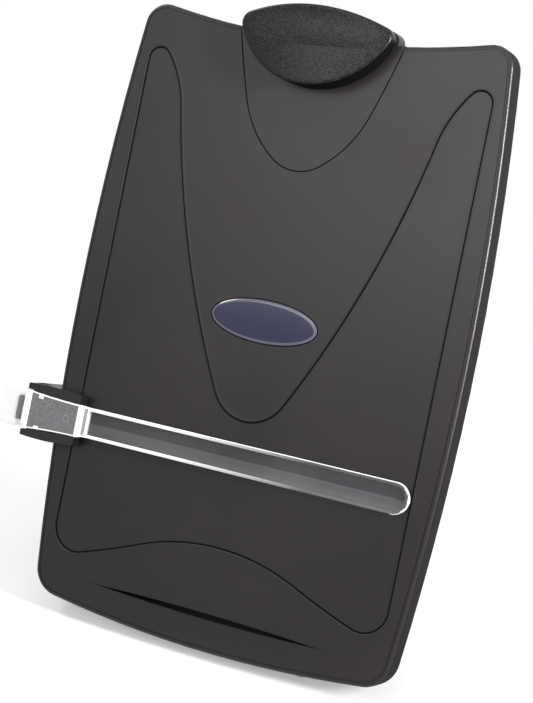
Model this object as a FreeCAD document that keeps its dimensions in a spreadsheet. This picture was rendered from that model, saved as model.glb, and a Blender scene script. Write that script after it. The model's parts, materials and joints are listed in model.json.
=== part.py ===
import FreeCAD, Part
import math
import os
from FreeCAD import Placement, Rotation, Vector

# Copy holder with line guide: a board that leans back on a folding leg, a sprung clip at its top,
# a paper ledge at its bottom, and a clear ruled arm on a carriage that slides along its left edge.
# Every piece of the board is drawn flat: x to the right, y up the board, z out of its face, with
# the origin at the middle of the bottom edge of the face. One placement then leans them all back.

doc = FreeCAD.newDocument("CopyHolder")
sheet = doc.addObject("Spreadsheet::Sheet", "Sizes")

SIZES = (
    # the board
    ("lean", 25.0),  # degrees from upright
    ("half_waist", 123.5),  # half of the board's greatest width
    ("waist_up", 184.0),  # height of the greatest width
    ("side_bow", 1560.0),  # radius of the long sides
    ("bottom_bow", 751.0),  # radius of the bottom edge, which bulges down
    ("top_up", 350.7),  # height of the middle of the top edge
    ("top_dip", 531.0),  # radius of the top edge, which sags in the middle
    ("top_corner", 13.0),
    ("bottom_corner", 17.0),
    ("panel_depth", 11.8),  # depth of the front half of the case
    ("face_thickness", 3.0),
    ("wall", 2.2),
    ("cover_thickness", 2.2),
    ("face_edge", 2.2),  # rounding of the front edge
    ("cover_edge", 1.2),  # rounding of the rear edge
    ("rim_line_inset", 2.5),  # fine groove between the face and its rounded edge
    ("rim_line_width", 0.5),
    ("rim_line_depth", 0.4),
    ("lip_thickness", 1.5),  # locating lip of the cover
    ("lip_height", 2.0),
    ("seat_gap", 0.15),  # gap round a piece let into another
    # the sunken paper panel
    ("paper_width", 215.8),  # letter paper between the straight sides
    ("sink_depth", 0.8),
    ("panel_low", 50.0),  # where the straight sides start
    ("panel_under_top", 23.1),  # where they end, below the top edge
    ("nose_up", 132.7),  # bottom of the V
    ("nose_side", 21.0),
    ("nose_rise", 12.4),
    ("lobe_side", 79.5),
    ("lobe_drop", 25.6),
    ("crown_in", 13.6),
    ("crown_rise", 4.9),
    ("toe_in", 20.0),
    ("toe_drop", 14.7),
    ("hump_up", 58.9),  # top of the hump in the bottom line
    ("hump_side", 50.1),
    ("hump_drop", 9.9),
    # the badge
    ("badge_up", 189.6),
    ("badge_half_width", 33.3),
    ("badge_half_height", 11.9),
    ("badge_recess", 0.8),
    ("badge_rise", 0.8),  # how far the badge stands out of the face
    # the paper ledge
    ("slot_up", 20.3),
    ("slot_half_width", 72.3),
    ("slot_opening", 3.2),
    ("ledge_rise", 2.0),
    ("ledge_half_width", 82.3),
    ("ledge_foot", 6.0),  # where the ledge runs out below the slot
    ("ledge_flat", 2.0),
    # screws of the case
    ("boss_radius", 3.6),
    ("screw_radius", 1.4),
    ("screw_hole", 1.6),
    ("screw_head", 2.9),
    ("head_depth", 1.1),
    ("boss_side", 92.0),  # sideways place of the outer bosses
    ("boss_low", 30.0),
    ("boss_mid", 180.0),
    ("boss_under_top", 30.7),
    ("screw_tip_gap", 1.0),
    ("head_play", 0.1),
    # the clip
    ("plate_thickness", 1.8),
    ("plate_under_top", 74.6),  # bottom of the U, below the board's top edge
    ("plate_knee_side", 14.5),
    ("plate_knee_up", 4.6),
    ("plate_flank_side", 38.4),
    ("plate_flank_up", 36.0),
    ("plate_end_side", 50.9),
    ("plate_end_up", 75.9),
    ("plate_past", 12.0),  # how far the recess runs out past the top edge
    ("plate_gap", 0.35),
    ("lever_half_width", 48.2),
    ("lever_under_top", 27.9),
    ("lever_corner_over", 7.3),
    ("lever_over_top", 17.0),
    ("lever_rounding", 6.0),
    ("lever_edge", 1.2),  # rounding of the rim
    ("lever_rim", 10.0),  # height of the lever's rim over the face
    ("lever_dome", 6.0),  # height of the dome over the rim
    ("lever_wall", 2.4),
    ("lever_lift", 0.6),  # gap between the lever and the face
    ("lever_swing", 13.0),  # degrees of relief under the finger end
    ("hollow_floor", 13.3),  # height of the thumb hollow's floor over the face
    ("hollow_over", 5.3),  # its middle, past the board's top edge
    ("hollow_bow", 40.0),  # its radius along the board
    ("hollow_half", 24.0),
    ("hollow_sweep", 450.0),  # its radius across the board
    ("crease_under", 6.3),  # the crease where it starts, below the top edge
    ("crease_bow", 209.0),
    ("pivot_under", 6.7),  # pivot of the lever, below the top edge
    ("clip_out", 5.5),
    ("clip_pin_radius", 1.5),
    ("clip_ear_side", 16.0),
    ("clip_ear_thickness", 3.0),
    ("clip_ear_radius", 3.4),
    ("running_gap", 0.06),  # radial play on a pin
    ("side_gap", 0.35),  # play between faces that pass each other
    ("clip_wire", 0.9),
    ("clip_coil", 2.5),  # mean radius of the clip spring
    ("clip_screw_side", 30.0),
    ("clip_screw_under", 20.7),
    ("clip_screw_head", 3.7),
    ("jaw_pad_low", 0.35),  # rubber pad of the jaw
    ("jaw_pad_high", 3.4),
    ("jaw_pad_width", 2.9),
    ("jaw_pad_reach", 11.0),
    ("tongue_front", 1.0),  # depth of the tongue's front below the face
    ("tongue_back", 11.0),
    ("tongue_root", 1.5),  # how far the tongue's bridge reaches under the board's edge
    # the leg
    ("hinge_up", 225.0),
    ("hinge_back", 19.5),  # distance of the hinge behind the face
    ("leg_angle", 15.0),  # degrees from upright when open
    ("leg_thickness", 7.0),
    ("leg_top_half", 40.0),
    ("leg_neck", 12.0),  # straight length below the hinge
    ("leg_foot_half", 60.0),
    ("leg_corner", 10.0),
    ("leg_knuckle", 5.0),
    ("leg_pin_radius", 2.0),
    ("leg_ear_thickness", 5.0),
    ("leg_ear_radius", 5.2),
    ("washer_thickness", 0.8),
    ("leg_panel_depth", 2.0),  # recess of the leg's rear face
    ("leg_frame", 9.0),  # width of the frame round that recess
    ("leg_rib_down", 113.0),  # cross rib, below the hinge
    ("leg_tray_down", 19.8),
    ("leg_pin_grip", 14.0),  # how far a hinge pin reaches into the leg
    ("toe_root", 2.0),
    ("toe_near", 1.0),
    ("toe_far", 7.0),
    ("toe_back", 5.0),
    ("stop_gap", 0.15),
    # the feet
    ("board_clear", 0.8),  # lowest edge of the board over the desk
    ("foot_setback", 19.0),  # middle of the front foot behind the face
    ("foot_width", 8.0),
    ("foot_thickness", 2.0),
    ("heel_half_width", 62.0),
    ("heel_back", 24.0),  # rear of the heel behind the face
    ("heel_up", 12.0),
    ("heel_slope", 5.0),
    ("foot_inset", 2.0),
    ("leg_pad_thickness", 4.0),
    # the line guide
    ("rail_in", 17.5),  # middle of a rail, in from the board's edge
    ("rail_width", 3.0),
    ("rail_height", 2.5),
    ("rail_low", 40.0),
    ("rail_under_top", 32.7),
    ("rail_gap", 0.2),
    ("guide_up", 111.0),  # height of the guide as stored
    ("bore_gap", 0.6),  # play between the carriage and the board's edge
    ("trunk_width", 14.7),
    ("cheek_length", 36.9),
    ("flange_gap", 0.5),
    ("flange_thickness", 1.9),
    ("cheek_front", 8.6),
    ("cheek_outer", 3.4),  # thickness of a cheek at the outer end
    ("cheek_inner", 4.7),  # and at the inner end
    ("cheek_bow", 1.0),
    ("trunk_bow", 1.1),
    ("backplate_thickness", 4.0),
    ("hook_reach", 5.0),  # how far the backplate passes the cheeks
    ("hook_taper", 3.0),
    ("slide_gap", 0.3),
    ("pad_outer_half", 11.7),  # half height of the clear pad at the tab
    ("pad_inner_half", 9.5),  # and at the bar
    ("pad_sag", 0.5),
    ("pad_level", 6.6),
    ("pad_thickness", 1.8),
    ("pad_gap", 0.5),
    ("pad_past", 2.2),  # how far the pad passes the trunk
    ("tab_length", 15.0),
    ("tab_half", 11.0),
    ("tab_corner", 5.0),
    ("grip_width", 4.6),
    ("grip_height", 0.5),
    ("grip_half", 7.2),
    ("ridge_width", 3.1),
    ("ridge_height", 1.4),
    ("ridge_half", 9.4),
    ("arm_pin_out_side", 4.9),  # the arm's pin, outside the carriage's bore
    ("arm_pin_out", 4.7),
    ("arm_pin_radius", 1.0),
    ("arm_pin_short", 1.0),
    ("arm_lug_radius", 2.1),
    ("arm_lug_step", 9.2),
    ("arm_lug_thickness", 2.5),
    ("arm_lug_root", 0.5),
    ("arm_wire", 0.5),
    ("bend_width", 3.0),
    ("bend_slack", 0.6),
    ("bar_margin", 0.4),  # the bar ends this far inside the paper's edge
    ("bar_half", 8.9),
    ("bar_level", 1.6),
    ("bar_height", 2.8),
    ("bar_rim", 2.0),
    ("web_thickness", 1.5),
    ("web_dish", 0.4),
    ("web_start", 1.5),
    ("web_stop", 2.0),
    ("brake_in", 8.5),  # middle of the brake, in from the board's edge
    ("brake_width", 8.0),
    ("brake_length", 16.0),
    ("brake_felt", 1.3),
    ("brake_touch", 0.05),  # gap between the felt and the cover
    ("leaf_thickness", 0.3),
    ("leaf_bow", 0.8),
    ("carriage_screw_step", 9.0),
    ("carriage_screw_grip", 8.0),
    ("carriage_head_sink", 2.0),
    ("carriage_wall", 2.0),
)

# Places that follow from the sizes above, so that the parts of one group move together.
FOLLOWING = (
    ("panel_high", "top_up - panel_under_top"),
    ("boss_high", "top_up - boss_under_top"),
    ("plate_low", "top_up - plate_under_top"),
    ("lever_low", "top_up - lever_under_top"),
    ("lever_corner", "top_up + lever_corner_over"),
    ("lever_high", "top_up + lever_over_top"),
    ("clip_up", "top_up - pivot_under"),
    ("clip_screw_up", "top_up - clip_screw_under"),
    ("rail_high", "top_up - rail_under_top"),
    ("rail_side", "half_waist - rail_in"),
    ("brake_side", "half_waist - brake_in"),
    ("carriage_bore", "half_waist + bore_gap"),
    ("carriage_outer", "carriage_bore + trunk_width"),
    ("carriage_inner", "carriage_outer - cheek_length"),
    ("carriage_screw_side", "(carriage_bore + carriage_outer) / 2"),
    ("arm_pin_side", "carriage_bore + arm_pin_out_side"),
    ("pad_end", "carriage_outer + pad_past"),
    ("tab_end", "pad_end + tab_length"),
    ("bar_end", "paper_width / 2 - bar_margin"),
)

CELLS = [(alias, str(value)) for alias, value in SIZES]
CELLS += [(alias, "=" + formula) for alias, formula in FOLLOWING]
for row, (alias, content) in enumerate(CELLS, start=1):
    sheet.set(f"A{row}", alias)
    sheet.setAlias(f"B{row}", alias)
    sheet.set(f"B{row}", content)
doc.recompute()


def size(alias):
    """The number held by one named cell of the sheet."""
    return float(sheet.get(alias))


# ---------------------------------------------------------------- frames of the three groups

LEAN = math.radians(size("lean"))
CASE_DEPTH = size("panel_depth") + size("cover_thickness")
FACE_EDGE_UP = size("board_clear") + CASE_DEPTH * math.sin(LEAN)


def floor_line(back, height=0.0):
    """How far up the board the level plane at a height lies, at a distance behind the face."""
    return (height - FACE_EDGE_UP + back * math.sin(LEAN)) / math.cos(LEAN)


FOOT_UP = floor_line(size("foot_setback"))
BOARD_BASE = Vector(
    0,
    -FOOT_UP * math.sin(LEAN) - size("foot_setback") * math.cos(LEAN),
    FACE_EDGE_UP,
)
BOARD = Placement(BOARD_BASE, Rotation(Vector(1, 0, 0), 90 - size("lean")))
LEG_TURN = Rotation(Vector(1, 0, 0), 90 + size("leg_angle"))
HINGE = BOARD.multVec(Vector(0, size("hinge_up"), -size("hinge_back")))
LEG = Placement(HINGE, LEG_TURN)


# ---------------------------------------------------------------- drawing helpers

def new_body(name, placement=BOARD):
    """An empty body that carries its node's name."""
    body = doc.addObject("PartDesign::Body", name)
    body.Label = name
    body.Placement = placement
    return body


def new_sketch(body, name, geometry, plane="XY_Plane", offset="0"):
    """A sketch on one of the body's own planes, lifted off it by a sheet expression."""
    sketch = body.newObject("Sketcher::SketchObject", name)
    base = next(f for f in body.Origin.OriginFeatures if f.Role == plane)
    sketch.AttachmentSupport = [(base, "")]
    sketch.MapMode = "FlatFace"
    sketch.setExpression(".AttachmentOffset.Base.z", offset)
    for curve in geometry:
        sketch.addGeometry(curve, False)
    return sketch


def pad(body, sketch, length, reverse=False, middle=False):
    """A pad whose length is a sheet expression."""
    feature = body.newObject("PartDesign::Pad", sketch.Name + "_pad")
    feature.Profile = sketch
    feature.setExpression("Length", length)
    feature.Reversed = reverse
    feature.Midplane = middle
    doc.recompute()
    return feature


def pocket(body, sketch, length, reverse=False, middle=False):
    """A pocket whose depth is a sheet expression, and which must take material away."""
    before = body.Shape.Volume
    feature = body.newObject("PartDesign::Pocket", sketch.Name + "_cut")
    feature.Profile = sketch
    feature.setExpression("Length", length)
    feature.Reversed = reverse
    feature.Midplane = middle
    doc.recompute()
    if body.Shape.Volume >= before - 0.01:
        raise RuntimeError(sketch.Name + " cuts nothing")
    return feature


def fillet(body, radius, chosen):
    """Round the edges of the body that a test picks."""
    tip = body.Tip
    names = [f"Edge{i}" for i, edge in enumerate(tip.Shape.Edges, start=1) if chosen(edge)]
    feature = body.newObject("PartDesign::Fillet", tip.Name + "_round")
    feature.Base = (tip, names)
    feature.setExpression("Radius", radius)
    doc.recompute()
    return feature


def at_level(z):
    """A test for edges that lie flat at one z of the body."""
    return lambda edge: all(abs(p.z - z) < 1e-4 for p in edge.discretize(5))


def upright_at(x):
    """A test for edges that stand upright in the body at one x."""
    def stands(edge):
        return edge.tangentAt(0).z ** 2 > 0.9

    return lambda edge: all(abs(p.x - x) < 1e-4 for p in edge.discretize(3)) and stands(edge)


def line(a, b):
    return Part.LineSegment(Vector(*a, 0), Vector(*b, 0))


def polygon(points):
    """Straight lines through the points and back to the first."""
    return [line(a, b) for a, b in zip(points, points[1:] + points[:1])]


def rectangle(left, low, right, high):
    return polygon([(left, low), (right, low), (right, high), (left, high)])


def circle(x, y, radius):
    return Part.Circle(Vector(x, y, 0), Vector(0, 0, 1), radius)


def arc(a, through, b):
    return Part.ArcOfCircle(Vector(*a, 0), Vector(*through, 0), Vector(*b, 0))


def tangent_chain(start, heading, points):
    """Arcs through the points, each leaving along the direction in which the last one ended."""
    curves = []
    for point in points:
        across, along = point[0] - start[0], point[1] - start[1]
        chord = math.hypot(across, along)
        turn = 2 * (math.atan2(along, across) - heading)
        turn = math.atan2(math.sin(turn), math.cos(turn))
        middle = heading + turn / 4
        reach = chord / (2 * math.cos(turn / 4))
        through = (start[0] + reach * math.cos(middle), start[1] + reach * math.sin(middle))
        curves.append(line(start, point) if abs(turn) < 1e-6 else arc(start, through, point))
        heading += turn
        start = point
    return curves


def mirrored(curves):
    """The same curves on the other side of the middle line."""
    copies = []
    for curve in curves:
        first, last = curve.StartPoint, curve.EndPoint
        if isinstance(curve, Part.LineSegment):
            copies.append(line((-last.x, last.y), (-first.x, first.y)))
        else:
            mid = curve.value((curve.FirstParameter + curve.LastParameter) / 2)
            copies.append(arc((-last.x, last.y), (-mid.x, mid.y), (-first.x, first.y)))
    return copies


def meet(first, first_radius, second, second_radius, side):
    """Where two circles meet: the crossing with the largest x (side 1) or the smallest (side -1)."""
    dx, dy = second[0] - first[0], second[1] - first[1]
    apart = math.hypot(dx, dy)
    along = (apart**2 + first_radius**2 - second_radius**2) / (2 * apart)
    off = math.sqrt(first_radius**2 - along**2)
    found = []
    for sign in (1, -1):
        x = first[0] + (along * dx - sign * off * dy) / apart
        y = first[1] + (along * dy + sign * off * dx) / apart
        found.append((x, y))
    return max(found) if side > 0 else min(found)


def towards(centre, point, radius):
    """The point on a circle in the direction of another point."""
    dx, dy = point[0] - centre[0], point[1] - centre[1]
    far = math.hypot(dx, dy)
    return (centre[0] + radius * dx / far, centre[1] + radius * dy / far)


def arc_about(centre, a, b):
    """The short arc from a to b about a centre."""
    middle = ((a[0] + b[0]) / 2, (a[1] + b[1]) / 2)
    radius = math.hypot(a[0] - centre[0], a[1] - centre[1])
    return arc(a, towards(centre, middle, radius), b)


# ---------------------------------------------------------------- outline of the board

SIDE_CENTRE = (size("half_waist") - size("side_bow"), size("waist_up"))
BOTTOM_CENTRE = (0.0, size("bottom_bow"))
TOP_CENTRE = (0.0, size("top_up") + size("top_dip"))


def board_outline(inset=0.0):
    """Four long arcs with rounded corners, all moved inwards by the inset."""
    side = size("side_bow") - inset
    low = size("bottom_corner")
    high = size("top_corner")
    low_centre = meet(SIDE_CENTRE, size("side_bow") - low, BOTTOM_CENTRE, size("bottom_bow") - low, 1)
    high_centre = meet(SIDE_CENTRE, size("side_bow") - high, TOP_CENTRE, size("top_dip") + high, 1)
    side_low = towards(SIDE_CENTRE, low_centre, side)
    side_high = towards(SIDE_CENTRE, high_centre, side)
    bottom = towards(BOTTOM_CENTRE, low_centre, size("bottom_bow") - inset)
    top = towards(TOP_CENTRE, high_centre, size("top_dip") + inset)
    right = [
        arc_about(low_centre, bottom, side_low),
        arc_about(SIDE_CENTRE, side_low, side_high),
        arc_about(high_centre, side_high, top),
    ]
    bottom_edge = arc((-bottom[0], bottom[1]), (0, inset), bottom)
    top_edge = arc(top, (0, size("top_up") - inset), (-top[0], top[1]))
    return [bottom_edge, *right, top_edge, *mirrored(right)]


# ---------------------------------------------------------------- front half of the case

def heart_outline():
    """The sunken panel: straight sides, two lobes, a V between them and a hump below."""
    side = size("paper_width") / 2
    low, high = size("panel_low"), size("panel_high")
    nose, hump = size("nose_up"), size("hump_up")
    flank = [
        (size("nose_side"), nose + size("nose_rise")),
        (size("lobe_side"), high - size("lobe_drop")),
        (side - size("crown_in"), high + size("crown_rise")),
        (side, high),
    ]
    foot = [
        (side - size("toe_in"), low - size("toe_drop")),
        (size("hump_side"), hump - size("hump_drop")),
        (0.0, hump),
    ]
    right = tangent_chain((0.0, nose), 0.0, flank)
    right.append(line((side, high), (side, low)))
    right += tangent_chain((side, low), -math.pi / 2, foot)
    return right + mirrored(right)


def plate_sides(grow=0.0):
    """The right side of the U of the clip plate, from its lowest point to past the top edge."""
    low = size("plate_low") - grow
    points = [
        (size("plate_knee_side") + grow * 0.5, low + size("plate_knee_up") + grow * 0.1),
        (size("plate_flank_side") + grow, low + size("plate_flank_up") + grow * 0.6),
        (size("plate_end_side") + grow, low + size("plate_end_up") + grow),
    ]
    return tangent_chain((0.0, low), 0.0, points)


def plate_outline(grow=0.0, past=0.0):
    """The U, closed by an arc that runs past the board's top edge by a distance."""
    right = plate_sides(grow)
    end = right[-1].EndPoint
    radius = size("top_dip") - past
    edge_up = TOP_CENTRE[1] - math.sqrt(radius**2 - end.x**2)
    flare = size("plate_end_side") - size("plate_flank_side")
    climb = size("plate_end_up") - size("plate_flank_up")
    x = end.x + (edge_up - end.y) * flare / climb
    corner = (x, TOP_CENTRE[1] - math.sqrt(radius**2 - x**2))
    right.append(line((end.x, end.y), corner))
    top = arc(corner, (0, TOP_CENTRE[1] - radius), (-corner[0], corner[1]))
    return [*right, top, *mirrored(right)]


def slot_outline():
    """A lens: two arcs that meet at the slot's ends."""
    half, up, open_half = size("slot_half_width"), size("slot_up"), size("slot_opening") / 2
    return [
        arc((-half, up), (0, up - open_half), (half, up)),
        arc((half, up), (0, up + open_half), (-half, up)),
    ]


BOSS_PLACES = [
    (side * size("boss_side"), up)
    for up in (size("boss_low"), size("boss_mid"), size("boss_high"))
    for side in (-1, 1)
]
CLIP_SCREW_PLACES = [(side * size("clip_screw_side"), size("clip_screw_up")) for side in (-1, 1)]
CLIP_BOSS = size("screw_head")

front = new_body("front_panel")
outline = new_sketch(front, "case_outline", board_outline())
pad(front, outline, "Sizes.panel_depth", reverse=True)
fillet(front, "Sizes.face_edge", at_level(0))
hollow = new_sketch(front, "case_hollow", board_outline(size("wall")), offset="-Sizes.panel_depth")
pocket(front, hollow, "Sizes.panel_depth - Sizes.face_thickness", reverse=True)

# The ledge is a wedge swept round a wide circle, so that it runs out into the face at both ends.
LEDGE_RADIUS = (size("ledge_half_width") ** 2 + size("ledge_rise") ** 2) / (2 * size("ledge_rise"))
LEDGE_SWEEP = 2 * math.degrees(math.asin(size("ledge_half_width") / LEDGE_RADIUS))
root_depth = size("face_thickness") / 2
wedge = polygon([
    (size("ledge_foot"), -root_depth),
    (size("slot_up"), -root_depth),
    (size("slot_up"), size("ledge_rise")),
    (size("slot_up") - size("ledge_flat"), size("ledge_rise")),
    (size("ledge_foot"), 0.0),
])
ledge = new_sketch(front, "ledge_wedge", wedge, plane="YZ_Plane")
axis_out = size("ledge_rise") - LEDGE_RADIUS
ledge.addGeometry(line((0, axis_out), (size("slot_up"), axis_out)), True)
swept = front.newObject("PartDesign::Revolution", "ledge_sweep")
swept.Profile = ledge
swept.ReferenceAxis = (ledge, ["Axis0"])
swept.Angle = LEDGE_SWEEP
swept.Midplane = True
doc.recompute()

rim_line = board_outline(size("rim_line_inset"))
rim_line += board_outline(size("rim_line_inset") + size("rim_line_width"))
pocket(front, new_sketch(front, "rim_line", rim_line), "Sizes.rim_line_depth")
sunk = new_sketch(front, "paper_panel", heart_outline())
pocket(front, sunk, "Sizes.sink_depth")
recess = new_sketch(front, "clip_recess", plate_outline(size("plate_gap"), size("plate_past")))
pocket(front, recess, "Sizes.plate_thickness")
badge_seat = Part.Ellipse(
    Vector(0, size("badge_up"), 0),
    size("badge_half_width") + size("seat_gap"),
    size("badge_half_height") + size("seat_gap"),
)
pocket(front, new_sketch(front, "badge_seat", [badge_seat]), "Sizes.badge_recess")
slot = new_sketch(front, "ledge_slot", slot_outline(), offset="Sizes.ledge_rise + 1")
pocket(front, slot, "Sizes.ledge_rise + 1 + Sizes.face_thickness + 1")
bosses = [circle(x, y, size("boss_radius")) for x, y in BOSS_PLACES]
posts = new_sketch(front, "case_bosses", bosses, offset="-Sizes.panel_depth")
pad(front, posts, "Sizes.panel_depth - Sizes.face_thickness / 2")
pilots = [circle(x, y, size("screw_radius")) for x, y in BOSS_PLACES]
pilot = new_sketch(front, "case_pilots", pilots, offset="-Sizes.panel_depth")
pocket(front, pilot, "Sizes.panel_depth - Sizes.face_thickness", reverse=True)
holes = [circle(x, y, CLIP_BOSS + size("seat_gap")) for x, y in CLIP_SCREW_PLACES]
passage = new_sketch(front, "clip_boss_holes", holes)
pocket(front, passage, "Sizes.face_thickness + 1")

# ---------------------------------------------------------------- rear half of the case

COVER_TOP = "-Sizes.panel_depth"
cover = new_body("back_cover")
skin = new_sketch(cover, "cover_outline", board_outline(), offset=COVER_TOP)
pad(cover, skin, "Sizes.cover_thickness", reverse=True)
fillet(cover, "Sizes.cover_edge", at_level(-CASE_DEPTH))
lip_outer = size("wall") + size("seat_gap")
lip_rings = board_outline(lip_outer) + board_outline(lip_outer + size("lip_thickness"))
pad(cover, new_sketch(cover, "locating_lip", lip_rings, offset=COVER_TOP), "Sizes.lip_height")

rails = []
for side in (-1, 1):
    middle = side * size("rail_side")
    half = size("rail_width") / 2
    rails += rectangle(middle - half, size("rail_low"), middle + half, size("rail_high"))
rail = new_sketch(cover, "guide_rails", rails, offset="-Sizes.panel_depth - Sizes.cover_thickness / 2")
pad(cover, rail, "Sizes.cover_thickness / 2 + Sizes.rail_height", reverse=True)

holes = [circle(x, y, size("screw_hole")) for x, y in BOSS_PLACES]
pocket(cover, new_sketch(cover, "screw_holes", holes), "Sizes.panel_depth + Sizes.cover_thickness + 1")
heads = [circle(x, y, size("screw_head") + size("seat_gap")) for x, y in BOSS_PLACES]
sinks = new_sketch(cover, "head_sinks", heads, offset="-Sizes.panel_depth - Sizes.cover_thickness")
pocket(cover, sinks, "Sizes.head_depth", reverse=True)

# The heel under the board carries the front foot, and its underside is level with the desk.
heel_top = CASE_DEPTH - size("cover_thickness") / 2
heel_profile = polygon([
    (floor_line(heel_top, size("foot_thickness")), -heel_top),
    (floor_line(size("heel_back"), size("foot_thickness")), -size("heel_back")),
    (size("heel_up"), -size("heel_back")),
    (size("heel_up") + size("heel_slope"), -heel_top),
])
heel = new_sketch(cover, "heel_side", heel_profile, plane="YZ_Plane")
pad(cover, heel, "2 * Sizes.heel_half_width", middle=True)

EAR_INNER = size("leg_top_half") + size("washer_thickness") + size("side_gap")
EAR_MIDDLE = EAR_INNER + size("leg_ear_thickness") / 2
ear_root = CASE_DEPTH - size("cover_thickness") / 2
ear_half = size("leg_ear_radius")
hinge_up, hinge_back = size("hinge_up"), size("hinge_back")
for name, side in (("left_ear", -1), ("right_ear", 1)):
    ear_profile = [
        line((hinge_up - ear_half * 1.6, -ear_root), (hinge_up - ear_half, -hinge_back)),
        arc(
            (hinge_up - ear_half, -hinge_back),
            (hinge_up, -hinge_back - ear_half),
            (hinge_up + ear_half, -hinge_back),
        ),
        line((hinge_up + ear_half, -hinge_back), (hinge_up + ear_half * 1.6, -ear_root)),
        line((hinge_up + ear_half * 1.6, -ear_root), (hinge_up - ear_half * 1.6, -ear_root)),
    ]
    ear = new_sketch(cover, name, ear_profile, plane="YZ_Plane", offset=str(side * EAR_MIDDLE))
    pad(cover, ear, "Sizes.leg_ear_thickness", middle=True)
ear_bore = circle(hinge_up, -hinge_back, size("leg_pin_radius") + size("running_gap") / 2)
bore = new_sketch(cover, "leg_bore", [ear_bore], plane="YZ_Plane")
pocket(cover, bore, str(2 * (EAR_INNER + size("leg_ear_thickness") + 1)), middle=True)

# ---------------------------------------------------------------- round parts along an axis

def turned_solid(steps, base, direction):
    """The solid of (radius, length) steps stacked along a direction."""
    solid = None
    start = Vector(base)
    way = Vector(direction)
    for radius, length in steps:
        piece = Part.makeCylinder(radius, length, start, way)
        solid = piece if solid is None else solid.fuse(piece)
        start = start + way * length
    return solid.removeSplitter()


def shape_node(name, solids, placement=BOARD):
    """A node whose solids are made from the sheet's sizes, placed afterwards."""
    feature = doc.addObject("Part::Feature", name)
    feature.Label = name
    feature.Shape = solids[0] if len(solids) == 1 else Part.makeCompound(solids)
    feature.Placement = placement.multiply(feature.Placement)
    return feature


HEAD_HEIGHT = size("head_depth") - size("head_play")
case_screws = []
for x, y in BOSS_PLACES:
    pilot_depth = size("panel_depth") - size("face_thickness")
    shank = pilot_depth - size("screw_tip_gap") + size("cover_thickness") - size("head_depth")
    start = Vector(x, y, -CASE_DEPTH + size("head_depth") - HEAD_HEIGHT)
    steps = [(size("screw_head"), HEAD_HEIGHT), (size("screw_radius"), shank)]
    case_screws.append(turned_solid(steps, start, (0, 0, 1)))
shape_node("case_screws", case_screws)

# ---------------------------------------------------------------- badge

badge = new_body("badge")
badge_oval = Part.Ellipse(
    Vector(0, size("badge_up"), 0), size("badge_half_width"), size("badge_half_height")
)
oval = new_sketch(badge, "badge_oval", [badge_oval], offset="-Sizes.badge_recess")
pad(badge, oval, "Sizes.badge_recess + Sizes.badge_rise")
fillet(badge, "Sizes.badge_rise * 0.9", at_level(size("badge_rise")))

# ---------------------------------------------------------------- clip

LENS_TOP, LENS_LOW = size("lever_high"), size("lever_low")
LENS_ROUND = size("lever_rounding")
lens_rise, lens_drop = LENS_TOP - size("lever_corner"), size("lever_corner") - LENS_LOW
UPPER_RADIUS = (size("lever_half_width") ** 2 + lens_rise**2) / (2 * lens_rise)
LOWER_RADIUS = (size("lever_half_width") ** 2 + lens_drop**2) / (2 * lens_drop)
UPPER_CENTRE = (0.0, LENS_TOP - UPPER_RADIUS)
LOWER_CENTRE = (0.0, LENS_LOW + LOWER_RADIUS)
CORNER = meet(UPPER_CENTRE, UPPER_RADIUS - LENS_ROUND, LOWER_CENTRE, LOWER_RADIUS - LENS_ROUND, 1)


def lever_lens(inset=0.0):
    """The lever's outline: a shallow arc over a deep one, with round corners, moved inwards."""
    upper = towards(UPPER_CENTRE, CORNER, UPPER_RADIUS - inset)
    lower = towards(LOWER_CENTRE, CORNER, LOWER_RADIUS - inset)
    corner = arc_about(CORNER, lower, upper)
    return [
        arc((-lower[0], lower[1]), (0, LENS_LOW + inset), lower),
        corner,
        arc(upper, (0, LENS_TOP - inset), (-upper[0], upper[1])),
        *mirrored([corner]),
    ]


def tongue_outline(past):
    """The part of the lever's outline that stands past the board's top edge by a distance."""
    edge = size("top_dip") - past
    start = meet(CORNER, LENS_ROUND, TOP_CENTRE, edge, 1)
    upper = towards(UPPER_CENTRE, CORNER, UPPER_RADIUS)
    corner = arc_about(CORNER, start, upper)
    return [
        arc((-start[0], start[1]), (0, TOP_CENTRE[1] - edge), start),
        corner,
        arc(upper, (0, LENS_TOP), (-upper[0], upper[1])),
        *mirrored([corner]),
    ]


def prism(curves, low, high):
    """A straight block over a closed outline, between two heights."""
    face = Part.Face(Part.Wire(Part.__sortEdges__([curve.toShape() for curve in curves])))
    block = face.extrude(Vector(0, 0, high - low))
    block.translate(Vector(0, 0, low))
    return block


plate = new_body("clip_plate")
flat = new_sketch(plate, "plate_outline", plate_outline())
pad(plate, flat, "Sizes.plate_thickness", reverse=True)

bridge_outline = tongue_outline(-size("tongue_root"))
bridge = new_sketch(plate, "tongue_bridge", bridge_outline, offset="-Sizes.plate_thickness")
pad(plate, bridge, "Sizes.plate_thickness - Sizes.tongue_front")
tongue = new_sketch(plate, "tongue", tongue_outline(size("plate_gap")), offset="-Sizes.tongue_front")
pad(plate, tongue, "Sizes.tongue_back - Sizes.tongue_front", reverse=True)
fillet(plate, "0.8 * Sizes.tongue_front", at_level(-size("tongue_back")))

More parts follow.
